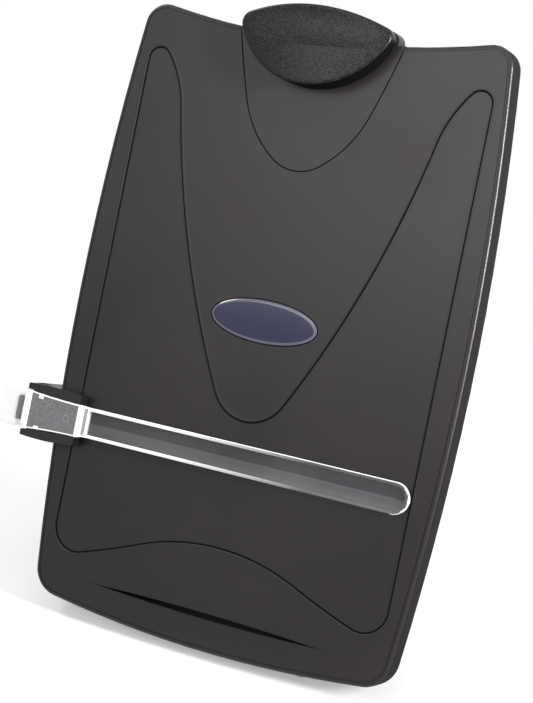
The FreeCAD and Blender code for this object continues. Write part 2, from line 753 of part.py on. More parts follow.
clip_up, clip_out = size("clip_up"), size("clip_out")
ear_radius = size("clip_ear_radius")
for name, side in (("clip_ear_left", -1), ("clip_ear_right", 1)):
    ear_low, ear_high = clip_up - ear_radius, clip_up + ear_radius
    ear_root = -size("plate_thickness") / 2
    ear_profile = [
        line((ear_low, ear_root), (ear_high, ear_root)),
        line((ear_high, ear_root), (ear_high, clip_out)),
        arc((ear_high, clip_out), (clip_up, clip_out + ear_radius), (ear_low, clip_out)),
        line((ear_low, clip_out), (ear_low, ear_root)),
    ]
    middle = f"{side} * Sizes.clip_ear_side"
    ear = new_sketch(plate, name, ear_profile, plane="YZ_Plane", offset=middle)
    pad(plate, ear, "Sizes.clip_ear_thickness", middle=True)
ear_bore = circle(clip_up, clip_out, size("clip_pin_radius"))
bore = new_sketch(plate, "clip_bore", [ear_bore], plane="YZ_Plane")
pocket(plate, bore, "2 * (Sizes.clip_ear_side + Sizes.clip_ear_thickness)", middle=True)
studs = [circle(x, y, CLIP_BOSS) for x, y in CLIP_SCREW_PLACES]
stud = new_sketch(plate, "clip_bosses", studs, offset="-Sizes.face_thickness")
pad(plate, stud, "Sizes.face_thickness - Sizes.plate_thickness / 2")
pilots = [circle(x, y, size("screw_radius")) for x, y in CLIP_SCREW_PLACES]
pilot = new_sketch(plate, "clip_pilots", pilots, offset="-Sizes.face_thickness")
pocket(plate, pilot, "Sizes.face_thickness - Sizes.plate_thickness / 3", reverse=True)

clip_screws = []
for x, y in CLIP_SCREW_PLACES:
    start = Vector(x, y, -size("face_thickness") - size("head_depth"))
    grip = size("face_thickness") - size("plate_thickness") / 2
    steps = [(size("clip_screw_head"), size("head_depth")), (size("screw_radius"), grip)]
    clip_screws.append(turned_solid(steps, start, (0, 0, 1)))
shape_node("clip_screws", clip_screws)

# The lever: a domed cap, hollow below, with a relief under its finger end. A thumb hollow is
# sunk into the dome behind a crease, and fades out into it at both sides.
rim, dome = size("lever_rim"), size("lever_dome")
lever_half = size("lever_half_width")
DOME_RADIUS = (lever_half**2 + dome**2) / (2 * dome)
DOME_CENTRE = Vector(0, clip_up, rim + dome - DOME_RADIUS)


def behind_crease():
    """A block over everything between the crease and the lever's finger end."""
    bow = size("crease_bow")
    crease = size("top_up") - size("crease_under")
    side = crease + bow - math.sqrt(bow**2 - lever_half**2)
    end = size("lever_high") + rim
    outline = [
        arc((-lever_half, side), (0, crease), (lever_half, side)),
        line((lever_half, side), (lever_half, end)),
        line((lever_half, end), (-lever_half, end)),
        line((-lever_half, end), (-lever_half, side)),
    ]
    return prism(outline, 0, rim + 2 * dome)


def thumb_hollow(drop):
    """The hollow's tool: an arc drawn along the board and swept sideways about a far axis."""
    floor = size("hollow_floor") - drop
    middle = size("top_up") + size("hollow_over")
    bow, half = size("hollow_bow"), size("hollow_half")
    side = floor + bow - math.sqrt(bow**2 - half**2)
    roof = rim + 2 * dome
    corners = [
        Vector(0, middle + half, side),
        Vector(0, middle + half, roof),
        Vector(0, middle - half, roof),
        Vector(0, middle - half, side),
    ]
    bottom = Part.Arc(corners[3], Vector(0, middle, floor), corners[0]).toShape()
    face = Part.Face(Part.Wire([bottom, *Part.makePolygon(corners).Edges]))
    centre = Vector(0, middle, floor - size("hollow_sweep"))
    reach = math.degrees(lever_half / size("hollow_sweep"))
    face.rotate(centre, Vector(0, 1, 0), -reach)
    return face.revolve(centre, Vector(0, 1, 0), 2 * reach).common(behind_crease())


def on_rim(edge):
    """A test for the edges in which the dome meets the side wall."""
    if edge.Degenerated:
        return False
    points = edge.discretize(5)
    curved = all(abs((p - DOME_CENTRE).Length - DOME_RADIUS) < 1e-3 for p in points)
    return curved and all(p.z < rim + 0.95 * dome for p in points)


cap = prism(lever_lens(), size("lever_lift"), rim + dome)
cap = cap.common(Part.makeSphere(DOME_RADIUS, DOME_CENTRE))
cap = cap.makeFillet(size("lever_edge"), [edge for edge in cap.Edges if on_rim(edge)])
inner = prism(lever_lens(size("lever_wall")), 0, rim + dome)
inner = inner.common(Part.makeSphere(DOME_RADIUS - size("lever_wall"), DOME_CENTRE))
inner = inner.cut(thumb_hollow(size("lever_wall")))
lever = cap.cut(thumb_hollow(0.0)).cut(inner)
hub_thickness = size("clip_ear_thickness")
HUB_INNER = size("clip_ear_side") + size("clip_ear_thickness") / 2 + size("side_gap")
across = Vector(1, 0, 0)
for side in (-1, 1):
    near = side * HUB_INNER if side > 0 else side * (HUB_INNER + hub_thickness)
    corner = Vector(near, clip_up - ear_radius, clip_out)
    hub = Part.makeBox(hub_thickness, 2 * ear_radius, rim + dome - clip_out, corner)
    hub = hub.fuse(Part.makeCylinder(ear_radius, hub_thickness, Vector(near, clip_up, clip_out), across))
    hub = hub.common(Part.makeSphere(DOME_RADIUS - size("lever_wall") / 2, DOME_CENTRE))
    lever = lever.fuse(hub.cut(thumb_hollow(size("lever_wall") / 2)))
pin_hole = size("clip_pin_radius") + size("running_gap")
reach = HUB_INNER + hub_thickness + 1
lever = lever.cut(Part.makeCylinder(pin_hole, 2 * reach, Vector(-reach, clip_up, clip_out), across))
relief = Part.makeBox(2 * lever_half, lever_half, rim, Vector(-lever_half, 0, -rim))
relief.rotate(Vector(0, 0, 0), across, size("lever_swing"))
relief.translate(Vector(0, clip_up, size("lever_lift")))
lever = lever.cut(relief).removeSplitter()
shape_node("clip_lever", [lever])

clip_reach = HUB_INNER + hub_thickness + size("side_gap")
pin_end = Vector(-clip_reach, clip_up, clip_out)
clip_pin = Part.makeCylinder(size("clip_pin_radius"), 2 * clip_reach, pin_end, across)
shape_node("clip_pin", [clip_pin])

# The rubber pad lies inside the jaw, and follows its curve.
jaw_side = size("lever_wall") + size("head_play")
jaw_outer = prism(lever_lens(jaw_side), size("jaw_pad_low"), size("jaw_pad_high"))
jaw_inner = prism(lever_lens(jaw_side + size("jaw_pad_width")), 0, rim)
jaw_corner = Vector(-lever_half, size("lever_low"), 0)
below = Part.makeBox(2 * lever_half, size("jaw_pad_reach"), rim, jaw_corner)
shape_node("clip_jaw_pad", [jaw_outer.cut(jaw_inner).common(below)])


def coil(wire, mean, turns, pitch, start):
    """A close coil along +x made as a swept helix."""
    helix = Part.makeHelix(pitch, pitch * turns, mean)
    profile = Part.Wire(Part.Circle(Vector(mean, 0, 0), Vector(0, 1, 0), wire / 2).toShape())
    solid = Part.Wire(helix.Edges).makePipeShell([profile], True, True)
    solid.rotate(Vector(0, 0, 0), Vector(0, 1, 0), 90)
    solid.translate(start)
    return solid


clip_turns = 6
clip_pitch = size("clip_wire") * 1.25
clip_coil_length = clip_turns * clip_pitch
spring = coil(
    size("clip_wire"), size("clip_coil"), clip_turns, clip_pitch,
    Vector(-clip_coil_length / 2, clip_up, clip_out),
)
shape_node("clip_spring", [spring])

# ---------------------------------------------------------------- front foot

foot_front = size("foot_setback") - size("foot_width") / 2
foot_rear = size("foot_setback") + size("foot_width") / 2
foot = new_body("front_foot")
foot_profile = polygon([
    (floor_line(foot_front), -foot_front),
    (floor_line(foot_rear), -foot_rear),
    (floor_line(foot_rear, size("foot_thickness")), -foot_rear),
    (floor_line(foot_front, size("foot_thickness")), -foot_front),
])
strip = new_sketch(foot, "foot_side", foot_profile, plane="YZ_Plane")
pad(foot, strip, "2 * Sizes.heel_half_width - 2 * Sizes.foot_inset", middle=True)

# ---------------------------------------------------------------- leg, drawn about its hinge

OPEN = LEAN + math.radians(size("leg_angle"))
HINGE_UP = HINGE.z
half_leg = size("leg_thickness") / 2


def desk_line(z, height=0.0):
    """Where the level plane at a height crosses the leg, at a place through its thickness."""
    tilt = math.radians(size("leg_angle"))
    return (height - HINGE_UP + z * math.sin(tilt)) / math.cos(tilt)


LEG_END = desk_line(half_leg) + size("leg_pad_thickness")
leg = new_body("easel_leg", LEG)
top_half, foot_half, corner = size("leg_top_half"), size("leg_foot_half"), size("leg_corner")
neck = -size("leg_neck")
leg_outline = polygon([
    (-foot_half, LEG_END),
    (foot_half, LEG_END),
    (foot_half, LEG_END + corner),
    (top_half, neck),
    (top_half, 0.0),
    (-top_half, 0.0),
    (-top_half, neck),
    (-foot_half, LEG_END + corner),
])
blade = new_sketch(leg, "leg_outline", leg_outline, offset="-Sizes.leg_thickness / 2")
pad(leg, blade, "Sizes.leg_thickness")
frame = size("leg_frame")


def tray_half(y):
    """Half the width of a tray at a place along the leg."""
    share = (y - neck) / (LEG_END + corner - neck)
    return top_half + (foot_half - top_half) * share - frame


rib = -size("leg_rib_down")
TRAYS = (
    ("low_tray", LEG_END + frame, rib),
    ("high_tray", rib + frame / 2, -size("leg_tray_down")),
)
for name, low, high in TRAYS:
    panel = polygon([
        (-tray_half(low), low),
        (tray_half(low), low),
        (tray_half(high), high),
        (-tray_half(high), high),
    ])
    tray = new_sketch(leg, name, panel, offset="-Sizes.leg_thickness / 2")
    pocket(leg, tray, "Sizes.leg_panel_depth", reverse=True)
knuckle_circle = [circle(0, 0, size("leg_knuckle"))]
knuckle = new_sketch(leg, "leg_knuckle", knuckle_circle, plane="YZ_Plane")
pad(leg, knuckle, "2 * Sizes.leg_top_half", middle=True)

# Past the hinge the leg ends in a toe that meets the cover when the leg is open.
stop_out = size("hinge_back") - CASE_DEPTH - size("stop_gap")
cover_normal = (math.sin(OPEN), math.cos(OPEN))
cover_up = (math.cos(OPEN), -math.sin(OPEN))


def on_cover(along):
    """A point of the toe's flat, in the leg's side view."""
    return (
        stop_out * cover_normal[0] + along * cover_up[0],
        stop_out * cover_normal[1] + along * cover_up[1],
    )


toe_profile = polygon([
    (-size("toe_root"), half_leg),
    on_cover(-size("toe_near")),
    on_cover(size("toe_far")),
    (size("toe_back"), -half_leg),
    (-size("toe_root"), -half_leg),
])
toe = new_sketch(leg, "leg_toe", toe_profile, plane="YZ_Plane")
pad(leg, toe, "1.4 * Sizes.leg_top_half", middle=True)
bore_circle = [circle(0, 0, size("leg_pin_radius") + size("running_gap") / 2)]
bore = new_sketch(leg, "leg_pin_bore", bore_circle, plane="YZ_Plane")
pocket(leg, bore, "2 * Sizes.leg_top_half + 2", middle=True)

sole = new_body("leg_foot", LEG)
sole_profile = polygon([
    (LEG_END, half_leg),
    (LEG_END, -half_leg),
    (desk_line(-half_leg), -half_leg),
    (desk_line(half_leg), half_leg),
])
sole_side = new_sketch(sole, "sole_side", sole_profile, plane="YZ_Plane")
pad(sole, sole_side, "2 * Sizes.leg_foot_half", middle=True)

leg_pins = []
leg_washers = []
pin_length = size("leg_ear_thickness") + size("washer_thickness") + size("side_gap")
pin_length += size("leg_pin_grip")
for side in (-1, 1):
    outer = side * (EAR_INNER + size("leg_ear_thickness"))
    way = Vector(-side, 0, 0)
    place = Vector(outer, hinge_up, -hinge_back)
    leg_pins.append(Part.makeCylinder(size("leg_pin_radius"), pin_length, place, way))
    seat = Vector(side * (size("leg_top_half") + size("side_gap") / 2), hinge_up, -hinge_back)
    ring = Part.makeCylinder(size("leg_knuckle"), size("washer_thickness"), seat, Vector(side, 0, 0))
    hole = Part.makeCylinder(
        size("leg_pin_radius") + size("running_gap"), size("washer_thickness"), seat, Vector(side, 0, 0)
    )
    leg_washers.append(ring.cut(hole))
shape_node("leg_pins", leg_pins)
shape_node("leg_washers", leg_washers)

# ---------------------------------------------------------------- carriage of the line guide

guide = size("guide_up")
outer, inner_side = -size("carriage_outer"), -size("carriage_inner")
bore_side = -size("carriage_bore")
flange_out = size("flange_gap") + size("flange_thickness")
CARRIAGE_BACK = -CASE_DEPTH - size("slide_gap")


def pad_half(x):
    """Half the clear pad's height at a place along it."""
    share = (x - outer) / (inner_side - outer)
    return size("pad_outer_half") + (size("pad_inner_half") - size("pad_outer_half")) * share


def band(left, right, grow_left, grow_right, sag):
    """The pad's tapered outline between two places, grown at each end, its long edges bowed in."""
    middle = (left + right) / 2
    low = [(left, guide - pad_half(left) - grow_left), (right, guide - pad_half(right) - grow_right)]
    mid = (middle, (low[0][1] + low[1][1]) / 2 + sag)
    top = [(x, 2 * guide - y) for x, y in low]
    top_mid = (middle, 2 * guide - mid[1])
    return [
        arc(low[0], mid, low[1]),
        line(low[1], top[1]),
        arc(top[1], top_mid, top[0]),
        line(top[0], low[0]),
    ]


sag = size("pad_sag")
gap = size("pad_gap")
cheek = gap + size("cheek_outer")
carriage = new_body("guide_carriage")
front_outline = band(outer, inner_side, cheek, gap + size("cheek_inner"), -size("cheek_bow"))
cheeks = new_sketch(carriage, "cheek_outline", front_outline, offset="Sizes.flange_gap")
pad(carriage, cheeks, "Sizes.cheek_front - Sizes.flange_gap")
well_outline = band(outer - size("pad_past"), inner_side + size("pad_past"), gap, gap, sag)
well = new_sketch(carriage, "pad_well", well_outline, offset="Sizes.cheek_front")
pocket(carriage, well, "Sizes.cheek_front - Sizes.flange_gap - Sizes.flange_thickness")
body_half = pad_half(outer) + cheek
body_middle = (outer + bore_side) / 2
body_low, body_high = guide - body_half, guide + body_half
body_outline = [
    arc((outer, body_low), (body_middle, body_low - size("trunk_bow")), (bore_side, body_low)),
    line((bore_side, body_low), (bore_side, body_high)),
    arc((bore_side, body_high), (body_middle, body_high + size("trunk_bow")), (outer, body_high)),
    line((outer, body_high), (outer, body_low)),
]
trunk_top = "Sizes.flange_gap + Sizes.flange_thickness"
trunk = new_sketch(carriage, "trunk_outline", body_outline, offset=trunk_top)
TRUNK = flange_out - CARRIAGE_BACK
pad(carriage, trunk, str(TRUNK), reverse=True)
wall = size("carriage_wall")
cave_outline = rectangle(outer + wall, body_low + wall, bore_side - wall, body_high - wall)
cave = new_sketch(carriage, "trunk_hollow", cave_outline, offset=str(CARRIAGE_BACK))
pocket(carriage, cave, str(TRUNK - size("flange_thickness")), reverse=True)
screw_x = -size("carriage_screw_side")
CARRIAGE_SCREWS = [(screw_x, guide + step * size("carriage_screw_step")) for step in (-1, 1)]
posts = [circle(x, y, size("boss_radius")) for x, y in CARRIAGE_SCREWS]
post = new_sketch(carriage, "trunk_bosses", posts, offset=str(CARRIAGE_BACK))
pad(carriage, post, str(TRUNK - size("flange_thickness") / 2))
pilots = [circle(x, y, size("screw_radius")) for x, y in CARRIAGE_SCREWS]
pilot = new_sketch(carriage, "trunk_pilots", pilots, offset=str(CARRIAGE_BACK))
SCREW_GRIP = size("carriage_screw_grip")
pocket(carriage, pilot, str(SCREW_GRIP + size("screw_tip_gap")), reverse=True)
arm_x, arm_out = -size("arm_pin_side"), size("arm_pin_out")
pin_circle = [circle(arm_x, arm_out, size("arm_pin_radius"))]
pin_bore = new_sketch(carriage, "arm_bore", pin_circle, plane="XZ_Plane", offset="-Sizes.guide_up")
pocket(carriage, pin_bore, str(4 * body_half), middle=True)

plate_low = CARRIAGE_BACK
backplate = new_body("guide_backplate")
hook_side = inner_side + size("hook_reach")
hook_low, hook_high = body_low + size("hook_taper"), body_high - size("hook_taper")
back_outline = [
    body_outline[0],
    line((bore_side, body_low), (hook_side, hook_low)),
    line((hook_side, hook_low), (hook_side, hook_high)),
    line((hook_side, hook_high), (bore_side, body_high)),
    body_outline[2],
    body_outline[3],
]
back = new_sketch(backplate, "backplate_outline", back_outline, offset=str(plate_low))
pad(backplate, back, "Sizes.backplate_thickness", reverse=True)
fillet(backplate, "Sizes.cover_edge", upright_at(hook_side))
rail_x = -size("rail_side")
channel_half = size("rail_width") / 2 + size("rail_gap")
channel_low, channel_high = guide - 2 * body_half, guide + 2 * body_half
channel_outline = rectangle(rail_x - channel_half, channel_low, rail_x + channel_half, channel_high)
channel = new_sketch(backplate, "rail_channel", channel_outline, offset=str(plate_low))
pocket(backplate, channel, "Sizes.rail_height + 2 * Sizes.rail_gap - Sizes.slide_gap")
brake_x = -size("brake_side")
felt_half, felt_long = size("brake_width") / 2, size("brake_length") / 2
nest_outline = rectangle(
    brake_x - felt_half - size("seat_gap"),
    guide - felt_long - size("seat_gap"),
    brake_x + felt_half + size("seat_gap"),
    guide + felt_long + size("seat_gap"),
)
leaf_depth = size("leaf_bow") + size("leaf_thickness")
nest_depth = size("brake_felt") - size("slide_gap") + size("brake_touch") + leaf_depth
nest = new_sketch(backplate, "brake_nest", nest_outline, offset=str(plate_low))
pocket(backplate, nest, str(nest_depth))
holes = [circle(x, y, size("screw_hole")) for x, y in CARRIAGE_SCREWS]
bores = new_sketch(backplate, "back_holes", holes, offset=str(plate_low))
pocket(backplate, bores, "Sizes.backplate_thickness + 1")
heads = [circle(x, y, size("screw_head") + size("seat_gap")) for x, y in CARRIAGE_SCREWS]
sink = new_sketch(backplate, "back_sinks", heads, offset=str(plate_low - size("backplate_thickness")))
pocket(backplate, sink, "Sizes.carriage_head_sink", reverse=True)

carriage_screws = []
for x, y in CARRIAGE_SCREWS:
    head_top = plate_low - size("backplate_thickness") + size("carriage_head_sink")
    grip = plate_low - head_top + SCREW_GRIP
    steps = [(size("screw_head"), size("head_depth")), (size("screw_radius"), grip)]
    start = Vector(x, y, head_top - size("head_depth"))
    carriage_screws.append(turned_solid(steps, start, (0, 0, 1)))
shape_node("carriage_screws", carriage_screws)

felt_front = -CASE_DEPTH - size("brake_touch")
brake = new_body("brake_pad")
felt_outline = rectangle(brake_x - felt_half, guide - felt_long, brake_x + felt_half, guide + felt_long)
felt = new_sketch(brake, "felt_outline", felt_outline, offset=str(felt_front))
pad(brake, felt, "Sizes.brake_felt", reverse=True)

# The leaf bows from the ends of its nest up to the back of the felt.
leaf_top = felt_front - size("brake_felt")
leaf_low = leaf_top - size("leaf_bow")
leaf_thick = size("leaf_thickness")
leaf_profile = [
    arc((guide - felt_long, leaf_low), (guide, leaf_top), (guide + felt_long, leaf_low)),
    line((guide + felt_long, leaf_low), (guide + felt_long, leaf_low - leaf_thick)),
    arc(
        (guide + felt_long, leaf_low - leaf_thick),
        (guide, leaf_top - leaf_thick),
        (guide - felt_long, leaf_low - leaf_thick),
    ),
    line((guide - felt_long, leaf_low - leaf_thick), (guide - felt_long, leaf_low)),
]
leaf_body = new_body("brake_spring")
leaf = new_sketch(leaf_body, "leaf_side", leaf_profile, plane="YZ_Plane", offset="-Sizes.brake_side")
pad(leaf_body, leaf, "Sizes.brake_width - 2", middle=True)

# ---------------------------------------------------------------- clear arm

arm = new_body("guide_arm")
tab_left = -size("tab_end")
tab_half = size("tab_half")
bar_start = inner_side + size("bend_width")
bar_right, bar_half = size("bar_end"), size("bar_half")
pad_left = -size("pad_end")
pad_curves = band(pad_left, inner_side, 0.0, 0.0, sag)
pad_end_half = pad_half(pad_left)
end_half = pad_half(inner_side)
bar_low_side, bar_high_side = guide - bar_half, guide + bar_half
bar_turn = bar_right - bar_half
tab_corner = size("tab_corner")
tab_in = tab_left + tab_corner
tab_low, tab_high = guide - tab_half, guide + tab_half
plan = [
    pad_curves[0],
    line((inner_side, guide - end_half), (bar_start, bar_low_side)),
    line((bar_start, bar_low_side), (bar_turn, bar_low_side)),
    arc((bar_turn, bar_low_side), (bar_right, guide), (bar_turn, bar_high_side)),
    line((bar_turn, bar_high_side), (bar_start, bar_high_side)),
    line((bar_start, bar_high_side), (inner_side, guide + end_half)),
    pad_curves[2],
    line((pad_left, guide + pad_end_half), (pad_left, tab_high)),
    line((pad_left, tab_high), (tab_in, tab_high)),
    arc_about((tab_in, tab_high - tab_corner), (tab_in, tab_high), (tab_left, tab_high - tab_corner)),
    line((tab_left, tab_high - tab_corner), (tab_left, tab_low + tab_corner)),
    arc_about((tab_in, tab_low + tab_corner), (tab_left, tab_low + tab_corner), (tab_in, tab_low)),
    line((tab_in, tab_low), (pad_left, tab_low)),
    line((pad_left, tab_low), (pad_left, guide - pad_end_half)),
]
pad_top = size("pad_level") + size("pad_thickness")
bar_low, bar_top = size("bar_level"), size("bar_level") + size("bar_height")
plan_sketch = new_sketch(arm, "arm_plan", plan, offset="Sizes.bar_level")
pad(arm, plan_sketch, "Sizes.pad_level + Sizes.pad_thickness - Sizes.bar_level")
slack = size("bend_slack")
under_profile = polygon([
    (tab_left - 1, bar_low - 1),
    (bar_start - slack, bar_low - 1),
    (bar_start - slack, bar_low),
    (inner_side - slack, size("pad_level")),
    (tab_left - 1, size("pad_level")),
])
under = new_sketch(arm, "under_pad", under_profile, plane="XZ_Plane", offset="-Sizes.guide_up")
pocket(arm, under, "4 * Sizes.pad_outer_half", middle=True)
over_profile = polygon([
    (inner_side + slack, pad_top + 1),
    (inner_side + slack, pad_top),
    (bar_start + slack, bar_top),
    (bar_right + 1, bar_top),
    (bar_right + 1, pad_top + 1),
])
over = new_sketch(arm, "over_bar", over_profile, plane="XZ_Plane", offset="-Sizes.guide_up")
pocket(arm, over, "4 * Sizes.pad_outer_half", middle=True)
web_half = bar_half - size("bar_rim")
web_top = bar_low + size("web_thickness")
trough_profile = polygon([
    (guide - web_half, bar_top + 1),
    (guide - web_half, web_top),
    (guide, web_top - size("web_dish")),
    (guide + web_half, web_top),
    (guide + web_half, bar_top + 1),
])
web_left, web_right = bar_start + size("web_start"), bar_turn + size("web_stop")
web_middle = str((web_left + web_right) / 2)
trough = new_sketch(arm, "bar_trough", trough_profile, plane="YZ_Plane", offset=web_middle)
pocket(arm, trough, str(web_right - web_left), middle=True)
ridge_left, ridge_half = outer - sag, size("ridge_half")
ridge_right = ridge_left + size("ridge_width")
ridge_outline = rectangle(ridge_left, guide - ridge_half, ridge_right, guide + ridge_half)
ridge = new_sketch(arm, "tab_ridge", ridge_outline, offset="Sizes.pad_level")
pad(arm, ridge, "Sizes.pad_thickness + Sizes.ridge_height")
grip_left, grip_half = ridge_left - size("grip_width"), size("grip_half")
grip_outline = rectangle(grip_left, guide - grip_half, ridge_left, guide + grip_half)
grip = new_sketch(arm, "thumb_grip", grip_outline, offset="Sizes.pad_level")
pad(arm, grip, "Sizes.pad_thickness + Sizes.grip_height")
lug_radius = size("arm_lug_radius")
lug_left, lug_right = arm_x - lug_radius, arm_x + lug_radius
lug_root = size("pad_level") + size("arm_lug_root")
lug_profile = [
    line((lug_left, lug_root), (lug_left, arm_out)),
    arc((lug_left, arm_out), (arm_x, arm_out - lug_radius), (lug_right, arm_out)),
    line((lug_right, arm_out), (lug_right, lug_root)),
    line((lug_right, lug_root), (lug_left, lug_root)),
]
for name, side in (("arm_lug_low", -1), ("arm_lug_high", 1)):
    place = f"-Sizes.guide_up - {side} * Sizes.arm_lug_step"
    lug = new_sketch(arm, name, lug_profile, plane="XZ_Plane", offset=place)
    pad(arm, lug, "Sizes.arm_lug_thickness", middle=True)
lug_hole = [circle(arm_x, arm_out, size("arm_pin_radius") + size("running_gap"))]
hole = new_sketch(arm, "lug_bore", lug_hole, plane="XZ_Plane", offset="-Sizes.guide_up")
pocket(arm, hole, "4 * Sizes.pad_outer_half", middle=True)

arm_pin_half = pad_half(arm_x) + cheek - size("arm_pin_short")
pin_end = Vector(arm_x, guide - arm_pin_half, arm_out)
arm_pin = Part.makeCylinder(size("arm_pin_radius"), 2 * arm_pin_half, pin_end, Vector(0, 1, 0))
shape_node("arm_pin", [arm_pin])

arm_wire = size("arm_wire")
arm_mean = size("arm_pin_radius") + size("running_gap") + arm_wire
arm_turns = 8
arm_pitch = arm_wire * 1.4
arm_coil = coil(arm_wire, arm_mean, arm_turns, arm_pitch, Vector(0, 0, 0))
arm_coil.rotate(Vector(0, 0, 0), Vector(0, 0, 1), 90)
arm_coil.translate(Vector(arm_x, guide - arm_turns * arm_pitch / 2, arm_out))
shape_node("arm_spring", [arm_coil])

# ---------------------------------------------------------------- test and write

doc.recompute()
for item in doc.Objects:
    if {"Invalid", "Error"} & set(item.State):
        raise RuntimeError(f"{item.Name} failed: {item.State}")

nodes = [item for item in doc.Objects if item.TypeId in ("PartDesign::Body", "Part::Feature")]
os.makedirs("parts", exist_ok=True)
for node in nodes:
    if node.Shape.isNull() or not node.Shape.isValid():
        raise RuntimeError(f"{node.Label} has no valid shape")
    node.Shape.exportStep(f"parts/{node.Label}.step")
    print(f"{node.Label}: {len(node.Shape.Solids)} solids, {node.Shape.Volume:.0f} mm3")
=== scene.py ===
import json
import math

import bmesh
import bpy
import numpy as np
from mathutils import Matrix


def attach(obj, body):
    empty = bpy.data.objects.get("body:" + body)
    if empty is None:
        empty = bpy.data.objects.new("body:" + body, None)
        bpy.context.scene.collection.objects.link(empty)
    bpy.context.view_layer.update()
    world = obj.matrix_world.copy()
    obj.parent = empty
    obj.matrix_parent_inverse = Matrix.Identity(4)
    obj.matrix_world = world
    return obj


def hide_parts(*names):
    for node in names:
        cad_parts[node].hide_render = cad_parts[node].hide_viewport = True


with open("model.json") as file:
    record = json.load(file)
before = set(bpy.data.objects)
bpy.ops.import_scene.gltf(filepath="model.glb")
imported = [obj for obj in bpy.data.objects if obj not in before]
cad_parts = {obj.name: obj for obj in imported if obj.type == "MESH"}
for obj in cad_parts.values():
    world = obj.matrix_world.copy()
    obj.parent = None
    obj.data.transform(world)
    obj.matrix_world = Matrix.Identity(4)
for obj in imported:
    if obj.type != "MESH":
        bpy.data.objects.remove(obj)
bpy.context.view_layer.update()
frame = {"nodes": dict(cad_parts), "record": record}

# ---------------------------------------------------------------- studio
# A pale floor that runs out of sight, large soft lamps and a plain bright world. The camera
# stands a little above the board and to its right, and looks at the middle of the face.

floor_half = 6.0
floor_corners = np.array([(-1, -1, 0), (1, -1, 0), (1, 1, 0), (-1, 1, 0)]) * floor_half
floor_mesh = bpy.data.meshes.new("studio_floor")
floor_mesh.from_pydata(floor_corners.tolist(), [], [(0, 1, 2, 3)])
floor = bpy.data.objects.new("studio_floor", floor_mesh)
bpy.context.collection.objects.link(floor)


def seen_directly(tree):
    """1 for rays that show a surface to the eye, straight or by gloss or through glass, else 0:
    the largest of the three marks that the light path carries."""
    ray = tree.nodes.new("ShaderNodeLightPath")
    total = ray.outputs["Is Camera Ray"]
    for kind in ("Is Glossy Ray", "Is Transmission Ray"):
        larger = tree.nodes.new("ShaderNodeMath")
        larger.operation = "MAXIMUM"
        tree.links.new(total, larger.inputs[0])
        tree.links.new(ray.outputs[kind], larger.inputs[1])
        total = larger.outputs[0]
    return total


def carry_over(tree, value, low, high, low_becomes, high_becomes):
    """A node that carries the span from low to high over to another span, in proportion."""
    node = tree.nodes.new("ShaderNodeMapRange")
    node.inputs["From Min"].default_value = low
    node.inputs["From Max"].default_value = high
    node.inputs["To Min"].default_value = low_becomes
    node.inputs["To Max"].default_value = high_becomes
    tree.links.new(value, node.inputs["Value"])
    return node


# Close to the board the floor is plain white paint, which keeps the shadow. Farther off it
# fades into a white that needs no light.
floor_white = 0.95
fade_start, fade_end, fade_least = 0.12, 0.62, 0.35
floor_paint = bpy.data.materials.new("floor_paint")
floor_paint.use_nodes = True
paint = floor_paint.node_tree
floor_shader = paint.nodes["Principled BSDF"]
floor_shader.inputs["Base Color"].default_value = (floor_white, floor_white, floor_white, 1)
floor_shader.inputs["Roughness"].default_value = 0.9
floor_shader.inputs["Specular IOR Level"].default_value = 0.0
glow = paint.nodes.new("ShaderNodeEmission")
fade = paint.nodes.new("ShaderNodeMixShader")
floor_place = paint.nodes.new("ShaderNodeTexCoord")
distance = paint.nodes.new("ShaderNodeVectorMath")
distance.operation = "LENGTH"
paint.links.new(floor_place.outputs["Object"], distance.inputs[0])
far_off = carry_over(paint, distance.outputs["Value"], fade_start, fade_end, fade_least, 1.0)
far_off.interpolation_type = "SMOOTHSTEP"
far_seen = paint.nodes.new("ShaderNodeMath")
far_seen.operation = "MULTIPLY"
paint.links.new(far_off.outputs["Result"], far_seen.inputs[0])
paint.links.new(seen_directly(paint), far_seen.inputs[1])
paint.links.new(far_seen.outputs[0], fade.inputs["Fac"])
paint.links.new(floor_shader.outputs["BSDF"], fade.inputs[1])
paint.links.new(glow.outputs["Emission"], fade.inputs[2])
paint.links.new(fade.outputs["Shader"], paint.nodes["Material Output"].inputs["Surface"])
floor_mesh.materials.append(floor_paint)

world_lit, world_seen = 0.35, 1.0
world = bpy.data.worlds.new("studio_world")
bpy.context.scene.world = world
world.use_nodes = True
sky = world.node_tree
sky_back = sky.nodes["Background"]
sky_back.inputs["Color"].default_value = (1, 1, 1, 1)
sky_level = carry_over(sky, seen_directly(sky), 0.0, 1.0, world_lit, world_seen)
sky.links.new(sky_level.outputs["Result"], sky_back.inputs["Strength"])


def soft_lamp(name, place, aim, width, height, power, spread=180):
    """A rectangular lamp at a place, turned so that it shines at the aim."""
    data = bpy.data.lights.new(name, "AREA")
    data.shape = "RECTANGLE"
    data.size = width
    data.size_y = height
    data.energy = power
    data.spread = math.radians(spread)
    lamp = bpy.data.objects.new(name, data)
    lamp.location = place
    away = np.array(place) - np.array(aim)
    flat = math.hypot(away[0], away[1])
    lamp.rotation_euler = (math.atan2(flat, away[2]), 0, math.atan2(away[0], -away[1]))
    bpy.context.collection.objects.link(lamp)


